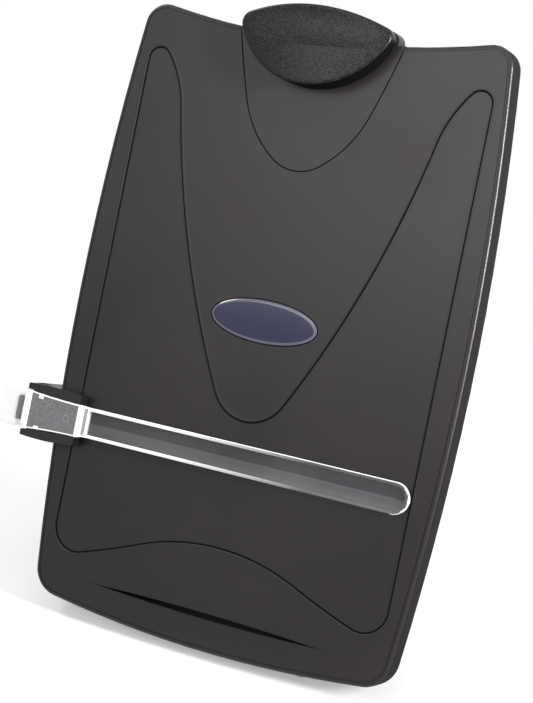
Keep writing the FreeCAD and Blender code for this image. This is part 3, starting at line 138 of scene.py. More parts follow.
board_middle = (0.0, 0.06, 0.17)
right_edge = (0.12, 0.12, 0.3)
upper_right = (0.1, 0.12, 0.3)
soft_lamp("sheen_lamp", (-0.3, -0.8, 0.95), upper_right, width=0.6, height=0.6, power=5)
soft_lamp("top_lamp", (0.1, 0.2, 1.9), board_middle, width=1.4, height=1.4, power=10)
soft_lamp("edge_lamp", (0.85, -0.12, 0.52), right_edge, width=0.1, height=0.4, power=3, spread=60)
soft_lamp("side_lamp", (-1.22, 0.23, 1.34), board_middle, width=0.5, height=0.5, power=9)

camera_place = (0.4399, -0.7598, 0.5722)
camera_down, camera_left = math.radians(23.83), math.radians(28.06)
camera_data = bpy.data.cameras.new("studio_camera")
camera_data.lens = 92.2
camera_data.sensor_width = 36.0
camera = bpy.data.objects.new("studio_camera", camera_data)
camera.location = camera_place
camera.rotation_euler = (math.radians(90) - camera_down, 0, camera_left)
bpy.context.collection.objects.link(camera)
bpy.context.scene.camera = camera
bpy.context.scene.view_settings.view_transform = "Standard"

# ---------------------------------------------------------------- front panel
# The front half of the case is one moulding in charcoal ABS with a fine satin grain. Its paper
# panel is sunk inside a rolled lip, and a near-black strip of painted shade lies in the narrow
# gap round the foot of that lip.

mm = 0.001
lean = math.radians(25)
board_base = np.array((0.0, -0.0178322, 0.0067167))
board_side = np.array((1.0, 0.0, 0.0))
board_up = np.array((0.0, math.sin(lean), math.cos(lean)))
board_out = np.array((0.0, -math.cos(lean), math.sin(lean)))


def on_board(side, up, out):
    """Points in metres from millimetres sideways, up the board and out of its face."""
    side, up, out = np.broadcast_arrays(side, up, out)
    offset = side[..., None] * board_side + up[..., None] * board_up + out[..., None] * board_out
    return board_base + offset * mm


def off_board(points):
    """Millimetres sideways, up the board and out of its face, from points in metres."""
    offset = (points - board_base) / mm
    return offset @ board_side, offset @ board_up, offset @ board_out


def noise(tree, place, scale, detail):
    """Soft random values near a half, with so many grains to the metre."""
    node = tree.nodes.new("ShaderNodeTexNoise")
    node.inputs["Scale"].default_value = scale
    node.inputs["Detail"].default_value = detail
    tree.links.new(place, node.inputs["Vector"])
    return node.outputs["Fac"]


def two_shades(tree, value, low, dark, high, light):
    """The dark shade up to the low value, the light one from the high value, a blend between."""
    node = tree.nodes.new("ShaderNodeValToRGB")
    start, end = node.color_ramp.elements
    start.position, end.position = low, high
    start.color, end.color = (*dark, 1), (*light, 1)
    tree.links.new(value, node.inputs["Fac"])
    return node.outputs["Color"]


patch_scale, patch_low, patch_high = 14.0, 0.3, 0.7
scuff_scale, scuff_turn = (60.0, 900.0, 60.0), (0.3, 0.5, 0.9)
scuff_low, scuff_high, scuff_polish = 0.7, 0.74, -0.04


def moulded_plastic(name, dark, light, rough, grain_size, grain_depth, spread=0.05, gloss=0.25):
    """Satin moulded plastic: two close shades in soft patches, a polish that varies with them,
    a fine grain as bump, and a few hair-thin scuffs that are a little smoother."""
    material = bpy.data.materials.new(name)
    material.use_nodes = True
    tree = material.node_tree
    shader = tree.nodes["Principled BSDF"]
    shader.inputs["Specular IOR Level"].default_value = gloss
    place = tree.nodes.new("ShaderNodeTexCoord").outputs["Object"]
    patches = noise(tree, place, patch_scale, 4.0)
    shades = two_shades(tree, patches, patch_low, dark, patch_high, light)
    polish = carry_over(tree, patches, patch_low, patch_high, rough - spread, rough + spread)
    stretch = tree.nodes.new("ShaderNodeMapping")
    stretch.inputs["Rotation"].default_value = scuff_turn
    stretch.inputs["Scale"].default_value = scuff_scale
    tree.links.new(place, stretch.inputs["Vector"])
    scuffs = noise(tree, stretch.outputs["Vector"], 1.0, 1.0)
    scuff_line = carry_over(tree, scuffs, scuff_low, scuff_high, 0.0, scuff_polish)
    both = tree.nodes.new("ShaderNodeMath")
    both.operation = "ADD"
    bump = tree.nodes.new("ShaderNodeBump")
    bump.inputs["Strength"].default_value = 1.0
    bump.inputs["Distance"].default_value = grain_depth
    tree.links.new(noise(tree, place, 1.0 / grain_size, 2.0), bump.inputs["Height"])
    tree.links.new(polish.outputs["Result"], both.inputs[0])
    tree.links.new(scuff_line.outputs["Result"], both.inputs[1])
    tree.links.new(shades, shader.inputs["Base Color"])
    tree.links.new(both.outputs[0], shader.inputs["Roughness"])
    tree.links.new(bump.outputs["Normal"], shader.inputs["Normal"])
    return material


record_bodies = frame["record"]["behaviour"]["bodies"]
body_of = {node: body for body, nodes in record_bodies.items() for node in nodes}
merge_reach, crumb_reach = 0.000003, 0.000001
flat_turn, sharp_turn = math.radians(0.3), math.radians(35)
wall_slope = 0.35


def dress(node, material, edge=0.0, wall=None):
    """A copy of a CAD piece with its material: its triangles are merged into whole faces, its
    sharp edges are broken by a small round, and its flat faces stay flat beside its fillets.
    Faces that look sideways from the board may have a wall finish of their own, painted darker as shade."""
    mesh = frame["nodes"][node].data.copy()
    mesh.name = node + "_finish"
    if "custom_normal" in mesh.attributes:
        mesh.attributes.remove(mesh.attributes["custom_normal"])
    form = bmesh.new()
    form.from_mesh(mesh)
    bmesh.ops.remove_doubles(form, verts=form.verts, dist=merge_reach)
    bmesh.ops.dissolve_degenerate(form, edges=form.edges, dist=crumb_reach)
    bmesh.ops.dissolve_limit(form, angle_limit=flat_turn, verts=form.verts, edges=form.edges)
    form.to_mesh(mesh)
    form.free()
    mesh.polygons.foreach_set("use_smooth", np.ones(len(mesh.polygons), bool))
    mesh.set_sharp_from_angle(angle=sharp_turn)
    mesh.materials.clear()
    mesh.materials.append(material)
    if wall:
        mesh.materials.append(wall)
    facing = np.zeros(len(mesh.polygons) * 3)
    mesh.polygons.foreach_get("normal", facing)
    sideways = np.abs(facing.reshape(-1, 3) @ board_out) < (wall_slope if wall else 0.0)
    mesh.polygons.foreach_set("material_index", sideways.astype(np.int32))
    piece = bpy.data.objects.new(mesh.name, mesh)
    bpy.context.collection.objects.link(piece)
    if edge:
        round_off = piece.modifiers.new("edge", "BEVEL")
        round_off.width = edge * mm
        round_off.segments = 2
        round_off.limit_method = "ANGLE"
        round_off.angle_limit = sharp_turn
    flat = piece.modifiers.new("flat", "WEIGHTED_NORMAL")
    flat.keep_sharp = True
    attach(piece, body_of[node])
    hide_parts(node)


grid_merge, grid_turn = 0.000002, math.radians(50)


def grid_piece(name, grids, materials, body, nodes=(), closed=(False, False), pick=None):
    """One object made of smooth surfaces, each through a rows-by-columns array of points. closed
    says whether rows and columns join end to end, and pick gives the material at each place."""
    vertices, faces, count = [], [], 0
    for points in grids:
        rows, columns = points.shape[:2]
        index = np.arange(rows * columns).reshape(rows, columns) + count
        index = np.vstack([index, index[:1]]) if closed[0] else index
        index = np.hstack([index, index[:, :1]]) if closed[1] else index
        corners = (index[:-1, :-1], index[:-1, 1:], index[1:, 1:], index[1:, :-1])
        faces += np.stack(corners, axis=-1).reshape(-1, 4).tolist()
        vertices += points.reshape(-1, 3).tolist()
        count += rows * columns
    mesh = bpy.data.meshes.new(name)
    mesh.from_pydata(vertices, [], faces)
    form = bmesh.new()
    form.from_mesh(mesh)
    bmesh.ops.remove_doubles(form, verts=form.verts, dist=grid_merge)
    bmesh.ops.dissolve_degenerate(form, edges=form.edges, dist=crumb_reach)
    bmesh.ops.recalc_face_normals(form, faces=form.faces)
    form.to_mesh(mesh)
    form.free()
    mesh.polygons.foreach_set("use_smooth", np.ones(len(mesh.polygons), bool))
    mesh.set_sharp_from_angle(angle=grid_turn)
    for material in materials:
        mesh.materials.append(material)
    if pick:
        middles = np.zeros(len(mesh.polygons) * 3)
        mesh.polygons.foreach_get("center", middles)
        chosen = pick(*off_board(middles.reshape(-1, 3)))
        mesh.polygons.foreach_set("material_index", chosen.astype(np.int32))
    piece = bpy.data.objects.new(name, mesh)
    bpy.context.collection.objects.link(piece)
    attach(piece, body)
    if nodes:
        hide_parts(*nodes)


def arc_chain(start, heading, points, step=1.0):
    """Arcs through the points, each leaving along the direction in which the last one ended.
    Returns the places along them and the unit normals on their left."""
    places, normals = [], []
    for point in points:
        chord = np.subtract(point, start)
        length = math.hypot(*chord)
        turn = 2 * (math.atan2(chord[1], chord[0]) - heading)
        turn = math.atan2(math.sin(turn), math.cos(turn))
        count = max(2, int(length / step))
        angle = heading + turn * np.arange(count) / count
        radius = length / (2 * math.sin(turn / 2))
        arc = [np.sin(angle) - math.sin(heading), math.cos(heading) - np.cos(angle)]
        places.append(np.array(start) + radius * np.stack(arc, axis=-1))
        normals.append(np.stack([-np.sin(angle), np.cos(angle)], axis=-1))
        heading += turn
        start = point
    places.append(np.array([start]))
    normals.append(np.array([(-math.sin(heading), math.cos(heading))]))
    return np.concatenate(places), np.concatenate(normals)


def edge_strip(name, path, normals, profile, material, body, closed=True):
    """A profile of (distance to the left, height) carried along a path on the face."""
    left, out = np.array(profile).T
    side = path[:, 0] + left[:, None] * normals[:, 0]
    up = path[:, 1] + left[:, None] * normals[:, 1]
    points = on_board(side, up, out[:, None])
    grid_piece(name, [points], [material], body, closed=(False, closed))


case_plastic = moulded_plastic(
    "case_plastic",
    dark=(0.0122, 0.0098, 0.0118),
    light=(0.0158, 0.0128, 0.0152),
    rough=0.35,
    grain_size=0.0007,
    grain_depth=0.00003,
)
# The side walls have a coarser, duller grain and a colour darker than the face's, painted as shade.
wall_grain_and_shade = moulded_plastic(
    "wall_grain_and_shade",
    dark=(0.007, 0.006, 0.0068),
    light=(0.0105, 0.009, 0.010),
    rough=0.6,
    grain_size=0.0006,
    grain_depth=0.00008,
    spread=0.08,
    gloss=0.05,
)
# A near-black finish, painted as the shade inside narrow gaps and grooves.
painted_shade_gap = moulded_plastic(
    "painted_shade_gap",
    dark=(0.002, 0.002, 0.002),
    light=(0.004, 0.004, 0.004),
    rough=0.85,
    grain_size=0.0007,
    grain_depth=0.00002,
    gloss=0.05,
)
dress("front_panel", case_plastic, 0.25, wall_grain_and_shade)

# Points of the panel's right half: the nose below the badge, its flank, the upper corner, the
# straight side of the paper, the lower corner and the wave above the ledge.
paper_side = 107.9
nose_start = (0.0, 132.7)
nose_points = [(21.0, 145.1), (79.5, 302.0), (paper_side - 13.6, 332.5), (paper_side, 327.6)]
foot_start = (paper_side, 50.0)
foot_points = [(paper_side - 20.0, 35.3), (50.1, 49.0), (0.0, 58.9)]
upper_path, upper_normals = arc_chain(nose_start, 0.0, nose_points)
lower_path, lower_normals = arc_chain(foot_start, -math.pi / 2, foot_points)
half_path = np.concatenate([upper_path, lower_path])
half_normals = np.concatenate([upper_normals, lower_normals])
flip = np.array((-1.0, 1.0))
panel_path = np.concatenate([half_path, half_path[::-1][1:-1] * flip])
panel_normals = np.concatenate([half_normals, half_normals[::-1][1:-1] * flip])
lip_profile = [
    (1.5, 0.005), (1.1, 0.05), (0.55, 0.08), (0.2, 0.03), (0.0, -0.14), (-0.06, -0.45), (-0.06, -0.79),
]
# The near-black strip at the foot of the lip stands in for the shade in the groove there.
gap_profile = [(-0.05, -0.7), (-0.3, -0.775), (-0.85, -0.775), (-1.0, -0.79)]
edge_strip("panel_lip", panel_path, panel_normals, lip_profile, case_plastic, "board")
edge_strip("panel_gap_shade", panel_path, panel_normals, gap_profile, painted_shade_gap, "board")

# The lower lip of the paper slot is painted much lighter than the case, as a highlight along its
# rounded top. The slot is a shallow bow, so its lip is a parabola.
lip_painted_highlight = moulded_plastic(
    "lip_painted_highlight",
    dark=(0.10, 0.095, 0.10),
    light=(0.16, 0.152, 0.158),
    rough=0.3,
    grain_size=0.0007,
    grain_depth=0.00002,
)
slot_up, slot_half, slot_opening, lip_drop = 20.3, 72.3, 3.2, 0.15
lip_side = np.linspace(-slot_half, slot_half, 90)
lip_up = slot_up - slot_opening / 2 * (1 - (lip_side / slot_half) ** 2) - lip_drop
lip_slope = slot_opening * lip_side / slot_half**2
lip_path = np.stack([lip_side, lip_up], axis=-1)
lip_normals = np.stack([-lip_slope, np.ones(len(lip_side))], axis=-1)
slot_profile = [(0.1, -0.3), (0.1, 0.1), (0.0, 0.22), (-0.25, 0.25), (-0.5, 0.16), (-0.7, -0.1)]
edge_strip("slot_lip", lip_path, lip_normals, slot_profile, lip_painted_highlight, "board", False)

# ---------------------------------------------------------------- back cover
# The rear half carries the guide rails, the ears of the leg and the heel. It is the same
# moulding, with a slightly lighter and rougher finish all over.

cover_plastic = moulded_plastic(
    "cover_plastic",
    dark=(0.019, 0.017, 0.019),
    light=(0.027, 0.0245, 0.027),
    rough=0.5,
    grain_size=0.0008,
    grain_depth=0.00005,
    spread=0.09,
)
dress("back_cover", cover_plastic, 0.3, wall_grain_and_shade)

# ---------------------------------------------------------------- case screws
# Six self-tapping pan-head screws with a cross recess, zinc plated, sunk into the cover. The
# recess is pressed into a low domed head.


def zinc(name, tone, rough):
    """Zinc-plated steel: bright metal, a trace bluer than grey, with fine turning marks."""
    dark = (tone, tone, tone * 1.02)
    light = (tone * 1.2, tone * 1.2, tone * 1.22)
    material = moulded_plastic(
        name, dark, light, rough, grain_size=0.0005, grain_depth=0.00001, spread=0.08
    )
    material.node_tree.nodes["Principled BSDF"].inputs["Metallic"].default_value = 1.0
    return material


screw_shank, screw_head = 1.4, 2.9
tip_share, seat_share, dome_share = 0.6, 0.97, 0.93
tip_bevel, rim_bevel, rim_sink, dome_rise = 0.7, 0.25, 0.3, 0.25
cross_half, cross_reach, cross_depth = 0.13, 0.62, 0.75
cross_side_soft, cross_end_soft = 0.06, 0.08


def screw_grid(side_at, up_at, tip, seat, face):
    """A screw as one surface turned about its axis: radius against height from the tip, up the
    shank, out under the head and over its dome, a parabola. The cross is the product of two
    S-curves, one off the nearer arm's middle line and one off the axis, and goes down from the
    dome."""
    angle = np.linspace(0, 2 * math.pi, 72, endpoint=False)
    inwards = np.linspace(1, 0, 16)
    way = math.copysign(1.0, face - seat)
    stem = [0.0, screw_shank * tip_share, screw_shank, screw_shank]
    stem += [screw_head * seat_share, screw_head]
    stem_out = [tip, tip, tip + way * tip_bevel, seat, seat, seat + way * rim_bevel]
    radius = np.concatenate([stem, inwards * screw_head * dome_share])
    out = np.concatenate([stem_out, face - way * (rim_sink - dome_rise * (1 - inwards**2))])
    side = radius[:, None] * np.cos(angle)
    up = radius[:, None] * np.sin(angle)
    narrow = np.minimum(np.abs(side), np.abs(up))
    cross = 1 / (1 + np.exp((narrow - cross_half * screw_head) / cross_side_soft))
    cross /= 1 + np.exp((radius[:, None] - cross_reach * screw_head) / cross_end_soft)
    on_face = (np.arange(len(radius)) >= len(stem))[:, None]
    depth = np.where(on_face, cross * cross_depth, 0.0)
    return on_board(side_at + side, up_at + up, out[:, None] - way * depth)


zinc_steel = zinc("zinc_steel", 0.5, 0.33)
case_grids = [
    screw_grid(side, up, tip=-4.0, seat=-12.9, face=-13.9)
    for up in (30.0, 180.0, 320.0)
    for side in (-92.0, 92.0)
]
grid_piece("case_screw_set", case_grids, [zinc_steel], "board", ["case_screws"], (False, True))

# ---------------------------------------------------------------- badge
# A separate oval insert in glossy navy plastic, pressed into its recess and left bare. Its field
# is a very low dome, and a bevelled border runs round it, painted lighter as a highlight. A
# near-black strip painted as shade lies in the gap outside that.

badge_paint = moulded_plastic(
    "badge_paint",
    dark=(0.013, 0.014, 0.038),
    light=(0.016, 0.017, 0.044),
    rough=0.2,
    grain_size=0.004,
    grain_depth=0.000006,
    spread=0.03,
    gloss=0.3,
)
# The border is painted lighter than the field, as a highlight round the rim.
badge_border_highlight = moulded_plastic(
    "badge_border_highlight",
    dark=(0.045, 0.047, 0.07),
    light=(0.052, 0.054, 0.08),
    rough=0.16,
    grain_size=0.004,
    grain_depth=0.000006,
    spread=0.02,
    gloss=1.0,
)
badge_half_width, badge_half_height = 33.3, 11.9
badge_up, badge_depth = 189.6, 0.75
border_width, border_foot, border_rise, border_bend = 1.5, 0.08, 0.62, 1.4
field_rise = 0.1
border_share = np.linspace(0, 1, 10)
border_inset = border_width * border_share
border_out = border_foot + border_rise * (1 - (1 - border_share) ** border_bend)
field_share = np.linspace(0, 1, 20)[1:]
field_inset = np.full(len(field_share), border_width)
field_out = border_out[-1] + field_rise * (1 - (1 - field_share) ** 2)
badge_around = np.linspace(0, 2 * math.pi, 220)


def badge_ring(inset, shrink, out):
    """Rings of the oval, each at its height: its two half axes less an inset, then drawn in to
    the middle by a share."""
    wide = (badge_half_width - inset) * (1 - shrink)
    tall = (badge_half_height - inset) * (1 - shrink)
    side = wide[:, None] * np.cos(badge_around)
    up = badge_up + tall[:, None] * np.sin(badge_around)
    return on_board(side, up, out[:, None])


border_inset = np.concatenate([[0.0, 0.0], border_inset])
border_out = np.concatenate([[-badge_depth, 0.0], border_out])
badge_rings = np.concatenate([
    badge_ring(border_inset, np.zeros(len(border_inset)), border_out),
    badge_ring(field_inset, field_share, field_out),
])


def badge_finish(side, up, out):
    """1 for the border, which lies outside the field's own oval, and 0 for the field."""
    wide = side / (badge_half_width - border_width)
    tall = (up - badge_up) / (badge_half_height - border_width)
    return np.hypot(wide, tall) > 1.0


grid_piece(
    "badge_dome",
    [badge_rings],
    [badge_paint, badge_border_highlight],
    "board",
    ["badge"],
    pick=badge_finish,
)
seat_turn = badge_around[:-1]
seat_path = np.stack([badge_half_width * np.cos(seat_turn), badge_half_height * np.sin(seat_turn)], axis=-1)
seat_way = -seat_path / np.array((badge_half_width, badge_half_height)) ** 2
seat_way /= np.linalg.norm(seat_way, axis=-1, keepdims=True)
seat_path += (0, badge_up)
# A near-black ring, painted as the shade in the gap round the badge.
seat_profile = [(0.05, -0.12), (0.0, 0.012), (-0.75, 0.012), (-0.78, -0.12)]
edge_strip("badge_gap_shade", seat_path, seat_way, seat_profile, painted_shade_gap, "board")

# ---------------------------------------------------------------- clip plate and its screws
# The insert that carries the clip is let into the face in a U, with a near-black strip of painted
# shade in the gap round it, and its finger tongue stands past the board's top edge. Two screws
# hold it from inside the case.

dress("clip_plate", case_plastic, 0.25)
dress("clip_screws", zinc_steel)
top_up = 350.7
plate_low = top_up - 74.6
seam_top = plate_low + 74.5
plate_knee, plate_flank = (14.5, plate_low + 4.6), (38.4, plate_low + 36.0)
plate_end = (50.9, plate_low + 75.9)
plate_path, plate_normals = arc_chain((0.0, plate_low), 0.0, [plate_knee, plate_flank, plate_end])
below_edge = plate_path[:, 1] < seam_top
plate_path, plate_normals = plate_path[below_edge], plate_normals[below_edge]
plate_path = np.concatenate([plate_path[:0:-1] * flip, plate_path])
plate_normals = np.concatenate([plate_normals[:0:-1] * flip, plate_normals])
# A near-black strip, painted as the shade in the gap round the plate.
seam_profile = [(0.25, -0.12), (0.22, 0.012), (-0.55, 0.012), (-0.58, -0.12)]
edge_strip(
    "plate_gap", plate_path, plate_normals, seam_profile, painted_shade_gap, "board", False
)

# ---------------------------------------------------------------- clip lever
# One domed shell in sand-textured charcoal. Its rim is rounded, a crease starts the thumb hollow
# behind the pivot, and its underside is cut away so that the finger end can be pressed down.

lens_top, lens_low, lens_level, lens_half = top_up + 17.0, top_up - 27.9, top_up + 7.3, 48.2
lens_round = 6.0
lever_rim, lever_dome, lever_wall, lever_edge = 10.0, 6.0, 2.4, 1.5
pivot_up, pivot_out = top_up - 6.7, 5.5
dome_radius = (lens_half**2 + lever_dome**2) / (2 * lever_dome)
hollow_up, hollow_out = top_up + 5.3, 13.3
hollow_radius, hollow_side_radius, hollow_blend = 40.0, 450.0, 0.12
crease_radius, crease_up, crease_width, thumb_power = 209.0, top_up - 6.3, 0.35, 1.2
jaw_clear, relief = 0.6, math.radians(13)
upper_radius = (lens_half**2 + (lens_top - lens_level) ** 2) / (2 * (lens_top - lens_level))
lower_radius = (lens_half**2 + (lens_level - lens_low) ** 2) / (2 * (lens_level - lens_low))
upper_middle, lower_middle = lens_top - upper_radius, lens_low + lower_radius
reach_up, reach_low = upper_radius - lens_round, lower_radius - lens_round
corner_up = (reach_up**2 - reach_low**2 + lower_middle**2 - upper_middle**2) / (
    2 * (lower_middle - upper_middle)
)
corner_side = math.sqrt(reach_up**2 - (corner_up - upper_middle) ** 2)


def lens_edge(side, inset, middle, radius, way):
    """One long edge of the lens moved inwards: a wide arc that ends in the corner's own arc."""
    turn = corner_side * (radius - inset) / (radius - lens_round)
    wide = middle + way * np.sqrt(np.maximum((radius - inset) ** 2 - side**2, 0))
    past = np.maximum(np.abs(side) - corner_side, 0)
    near = corner_up + way * np.sqrt(np.maximum((lens_round - inset) ** 2 - past**2, 0))
    return np.where(np.abs(side) < turn, wide, near)


def lever_height(side, up):
    """The dome over the face: a wide sphere whose top is over the pivot."""
    across = side**2 + (up - pivot_up) ** 2
    return lever_rim + lever_dome - dome_radius + np.sqrt(dome_radius**2 - across)


def hollow_height(side, up):
    """The lower of the dome and the thumb hollow, with a soft change between them. The hollow is
    a trough of one radius up the board, which falls away sideways by a far larger one."""
    trough = hollow_out + hollow_radius - np.sqrt(hollow_radius**2 - (up - hollow_up) ** 2)
    low = trough - side**2 / (2 * hollow_side_radius)
    high = lever_height(side, up)
    return -hollow_blend * np.logaddexp(-low / hollow_blend, -high / hollow_blend)


def inside_height(side, up):
    """The ceiling under the dome, one wall lower."""
    return hollow_height(side, up) - lever_wall


lever_share = np.sin(np.linspace(-1, 1, 181) * math.pi / 2)
rim_turn = np.linspace(0, 1, 8) * math.pi / 2


def lens_row(inset, way):
    """Sideways and upward places along one edge of the lens at an inset, closer at its ends."""
    side = lever_share * (corner_side + lens_round - inset)
    middle, radius = (upper_middle, upper_radius) if way > 0 else (lower_middle, lower_radius)
    return side, lens_edge(side, inset, middle, radius, way)


def wall_rows(inset, way, height, lower, count):
    """Rows up one wall of the shell, to its height less a distance. They start at the lever's
    lower edge, which is level at the jaw and rises evenly behind the pivot."""
    side, up = lens_row(inset, way)
    low = jaw_clear + np.maximum(up - pivot_up, 0) * math.tan(relief)
    share = np.linspace(0, 1, count)[:, None]
    out = low + (height(side, up) - lower - low) * share
    return np.broadcast_to(side, out.shape), np.broadcast_to(up, out.shape), out


def rim_rows(way, height):
    """Rows over the rounded rim, a quarter circle from the wall to the top."""
    rows = [lens_row(lever_edge * (1 - math.cos(turn)), way) for turn in rim_turn]
    side = np.stack([row[0] for row in rows])
    up = np.stack([row[1] for row in rows])
    return side, up, height(side, up) - lever_edge * (1 - np.sin(rim_turn))[:, None]


def top_rows():
    """Rows over the top: the dome up to the crease, a wide arc, then the hollow from just
    behind it, where the rows lie a little closer."""
    side, low = lens_row(lever_edge, -1)
    high = lens_row(lever_edge, 1)[1]
    crease = np.clip(crease_up + crease_radius - np.sqrt(crease_radius**2 - side**2), low, high)
    jaw = low + (crease - low) * np.linspace(0, 1, 36)[1:, None]
    start = np.minimum(crease + crease_width, high)
    thumb = start + (high - start) * np.linspace(0, 1, 34)[:-1, None] ** thumb_power
    up = np.concatenate([jaw, thumb])
    out = np.concatenate([lever_height(side, jaw), hollow_height(side, thumb)])
    return np.broadcast_to(side, up.shape), up, out


def ceiling_rows():
    """Rows under the dome, from the finger end back to the jaw."""
    side, low = lens_row(lever_wall, -1)
    high = lens_row(lever_wall, 1)[1]
    up = low + (high - low) * np.linspace(1, 0, 14)[1:-1, None]
    return np.broadcast_to(side, up.shape), up, inside_height(side, up)


def backwards(rows):
    """The same rows in the other order."""
    return tuple(part[::-1] for part in rows)


lever_parts = [
    wall_rows(0.0, -1, lever_height, lever_edge, 6),
    rim_rows(-1, lever_height),
    top_rows(),
    backwards(rim_rows(1, hollow_height)),
    backwards(wall_rows(0.0, 1, hollow_height, lever_edge, 6)),
    wall_rows(lever_wall, 1, inside_height, 0.0, 5),
    ceiling_rows(),
    backwards(wall_rows(lever_wall, -1, inside_height, 0.0, 5)),
]
lever_points = on_board(*(np.concatenate(rows) for rows in zip(*lever_parts)))
pit_share, peak_share = 0.42, 0.66


def speckle_shade_and_glint(material, pit, peak, grain_size):
    """Colour a finish grain by grain instead of in patches, in random spots: dark ones painted as
    shade in pits, light ones painted as glints on peaks.
    """
    tree = material.node_tree
    place = tree.nodes.new("ShaderNodeTexCoord").outputs["Object"]
    grains = noise(tree, place, 1.0 / grain_size, 1.0)
    shades = two_shades(tree, grains, pit_share, pit, peak_share, peak)
    tree.links.new(shades, tree.nodes["Principled BSDF"].inputs["Base Color"])


# The sand finish is coloured in random dark and light grains, painted as shade and glints.
sand_pit_shade, sand_peak_glint = (0.001, 0.0008, 0.001), (0.023, 0.0202, 0.0212)
sand_plastic = moulded_plastic(
    "sand_plastic", sand_pit_shade, sand_peak_glint, rough=0.30, grain_size=0.00065, grain_depth=0.00009, gloss=0.17
)
speckle_shade_and_glint(sand_plastic, sand_pit_shade, sand_peak_glint, 0.0007)
# The lever's lower wall is painted near-black, as the shade under the dome.
painted_shade_wall = moulded_plastic(
    "painted_shade_wall",
    dark=(0.0016, 0.0014, 0.0016),
    light=(0.003, 0.0026, 0.003),
    rough=0.5,
    grain_size=0.0007,
    grain_depth=0.00003,
    spread=0.08,
    gloss=0.08,
)
wall_reach = 0.35


def lever_finish(side, up, out):
    """1 for the lower wall, painted near-black as shade, below the lens's lower edge moved a little
    inwards, 0 for the sand.
    """
    return up < lens_edge(side, wall_reach, lower_middle, lower_radius, -1)


grid_piece(
    "lever_shell",
    [lever_points],
    [sand_plastic, painted_shade_wall],
    "clip",
    ["clip_lever"],
    (True, False),
    lever_finish,
)

# The hubs hang from the dome beside the ears of the plate and turn on the pin.

face_share, rim_break = 0.9, 0.2


def slab(name, outline, near, thick, material, body, turn=False):
    """A flat block between two planes a thickness apart, with an outline of (up, out) places, or
    (side, out) if turned. Each of its two faces shrinks to a point and its rims are broken."""
    first, out = np.array(outline).T
    keep = np.array((0.0, face_share, 1.0, 1.0, face_share, 0.0))[:, None]
    plane = near + thick * np.array((0, 0, 0, 1, 1, 1))[:, None]
    across = plane + rim_break * np.array((0, 0, 1, -1, 0, 0))[:, None]
    first = first.mean() + (first - first.mean()) * keep
    out = out.mean() + (out - out.mean()) * keep
    points = on_board(first, across, out) if turn else on_board(across, first, out)
    grid_piece(name, [points], [material], body, closed=(False, True))


hub_radius, hub_thick, hub_top_rear, hub_top_front = 3.4, 3.0, 12.2, 12.6
lower_half = np.linspace(math.pi, 2 * math.pi, 15)
hub_outline = [
    (pivot_up + hub_radius * math.cos(turn), pivot_out + hub_radius * math.sin(turn)) for turn in lower_half
]
hub_outline += [(pivot_up + hub_radius, hub_top_rear), (pivot_up - hub_radius, hub_top_front)]
slab("lever_hub_left", hub_outline, -20.85, hub_thick, sand_plastic, "clip")
slab("lever_hub_right", hub_outline, 17.85, hub_thick, sand_plastic, "clip")

# ---------------------------------------------------------------- clip pin, spring and jaw pad
# A plain steel pin is the pivot. Round it sits a torsion spring of six turns: one leg bears on the
# plate, the other under the dome. A black rubber pad lies inside the jaw and grips the sheets.

dress("clip_pin", zinc_steel)


def spring_line(turns, steps, radius, across, out, along, half_long, foot, reach):
    """A torsion spring's wire: a helix about an axis, with a straight leg up from a foot to its
    start and one that reaches outwards from its end. Returns its places along the axis, across
    it and out of the face."""
    turn = np.linspace(0, turns * 2 * math.pi, steps)
    leg = np.linspace(0, 1, 12)
    along = along - half_long + 2 * half_long * turn / turn[-1]
    across = across + radius * np.cos(turn)
    out = out + radius * np.sin(turn)
    out = np.concatenate([foot + (out[0] - foot) * leg[:-1], out, out[-1] + reach * leg[1:]])
    return np.pad(along, len(leg) - 1, "edge"), np.pad(across, len(leg) - 1, "edge"), out


wire_sides, off_wire = 12, (0.31, 0.87, 0.38)


def wire(name, path, radius, body, node):
    """A round spring wire: circles about a path, closed to a point at both ends. Each circle's
    first arm is the last one's less its part along the path, so the wire doesn't twist."""
    way = np.gradient(path, axis=0)
    way /= np.linalg.norm(way, axis=1)[:, None]
    ahead = np.zeros_like(path)
    ahead[0] = np.cross(way[0], off_wire)
    for i in range(1, len(path)):
        ahead[i] = ahead[i - 1] - way[i] * (ahead[i - 1] @ way[i])
        ahead[i] /= np.linalg.norm(ahead[i])
    ahead[0] /= np.linalg.norm(ahead[0])
    beside = np.cross(way, ahead)
    angle = np.linspace(0, 2 * math.pi, wire_sides, endpoint=False)[:, None]
    ring = np.cos(angle) * ahead[:, None] + np.sin(angle) * beside[:, None]
    ends = [np.repeat(path[i][None, None], wire_sides, axis=1) for i in (0, -1)]
    rows = np.concatenate([ends[0], path[:, None] + ring * radius * mm, ends[1]])
    grid_piece(name, [rows], [spring_steel], body, [node], (False, True))


spring_steel = zinc("spring_steel", 0.4, 0.28)
coil_side, coil_up, coil_out = spring_line(
    turns=6,
    steps=220,
    radius=2.5,
    across=pivot_up,
    out=pivot_out,
    along=0.0,
    half_long=3.4,
    foot=0.55,
    reach=7.0,
)
wire("clip_coil", on_board(coil_side, coil_up, coil_out), 0.45, "board", "clip_spring")
rubber = moulded_plastic(
    "foot_rubber",
    dark=(0.011, 0.011, 0.012),
    light=(0.018, 0.018, 0.018),
    rough=0.8,
    grain_size=0.0006,
    grain_depth=0.00006,
)
dress("clip_jaw_pad", rubber, 0.2)

# ---------------------------------------------------------------- front foot
# A plain strip of black rubber, glued under the heel. The board stands on it, and it keeps the
# board from sliding on the desk.

dress("front_foot", rubber, 0.25)

# ---------------------------------------------------------------- leg
# The folding leg is a tapered blade of the cover's plastic, with two shallow trays inside its
# frame. It turns on two steel pins between the ears of the cover, with a nylon washer on each
# side, and ends in a rubber sole.

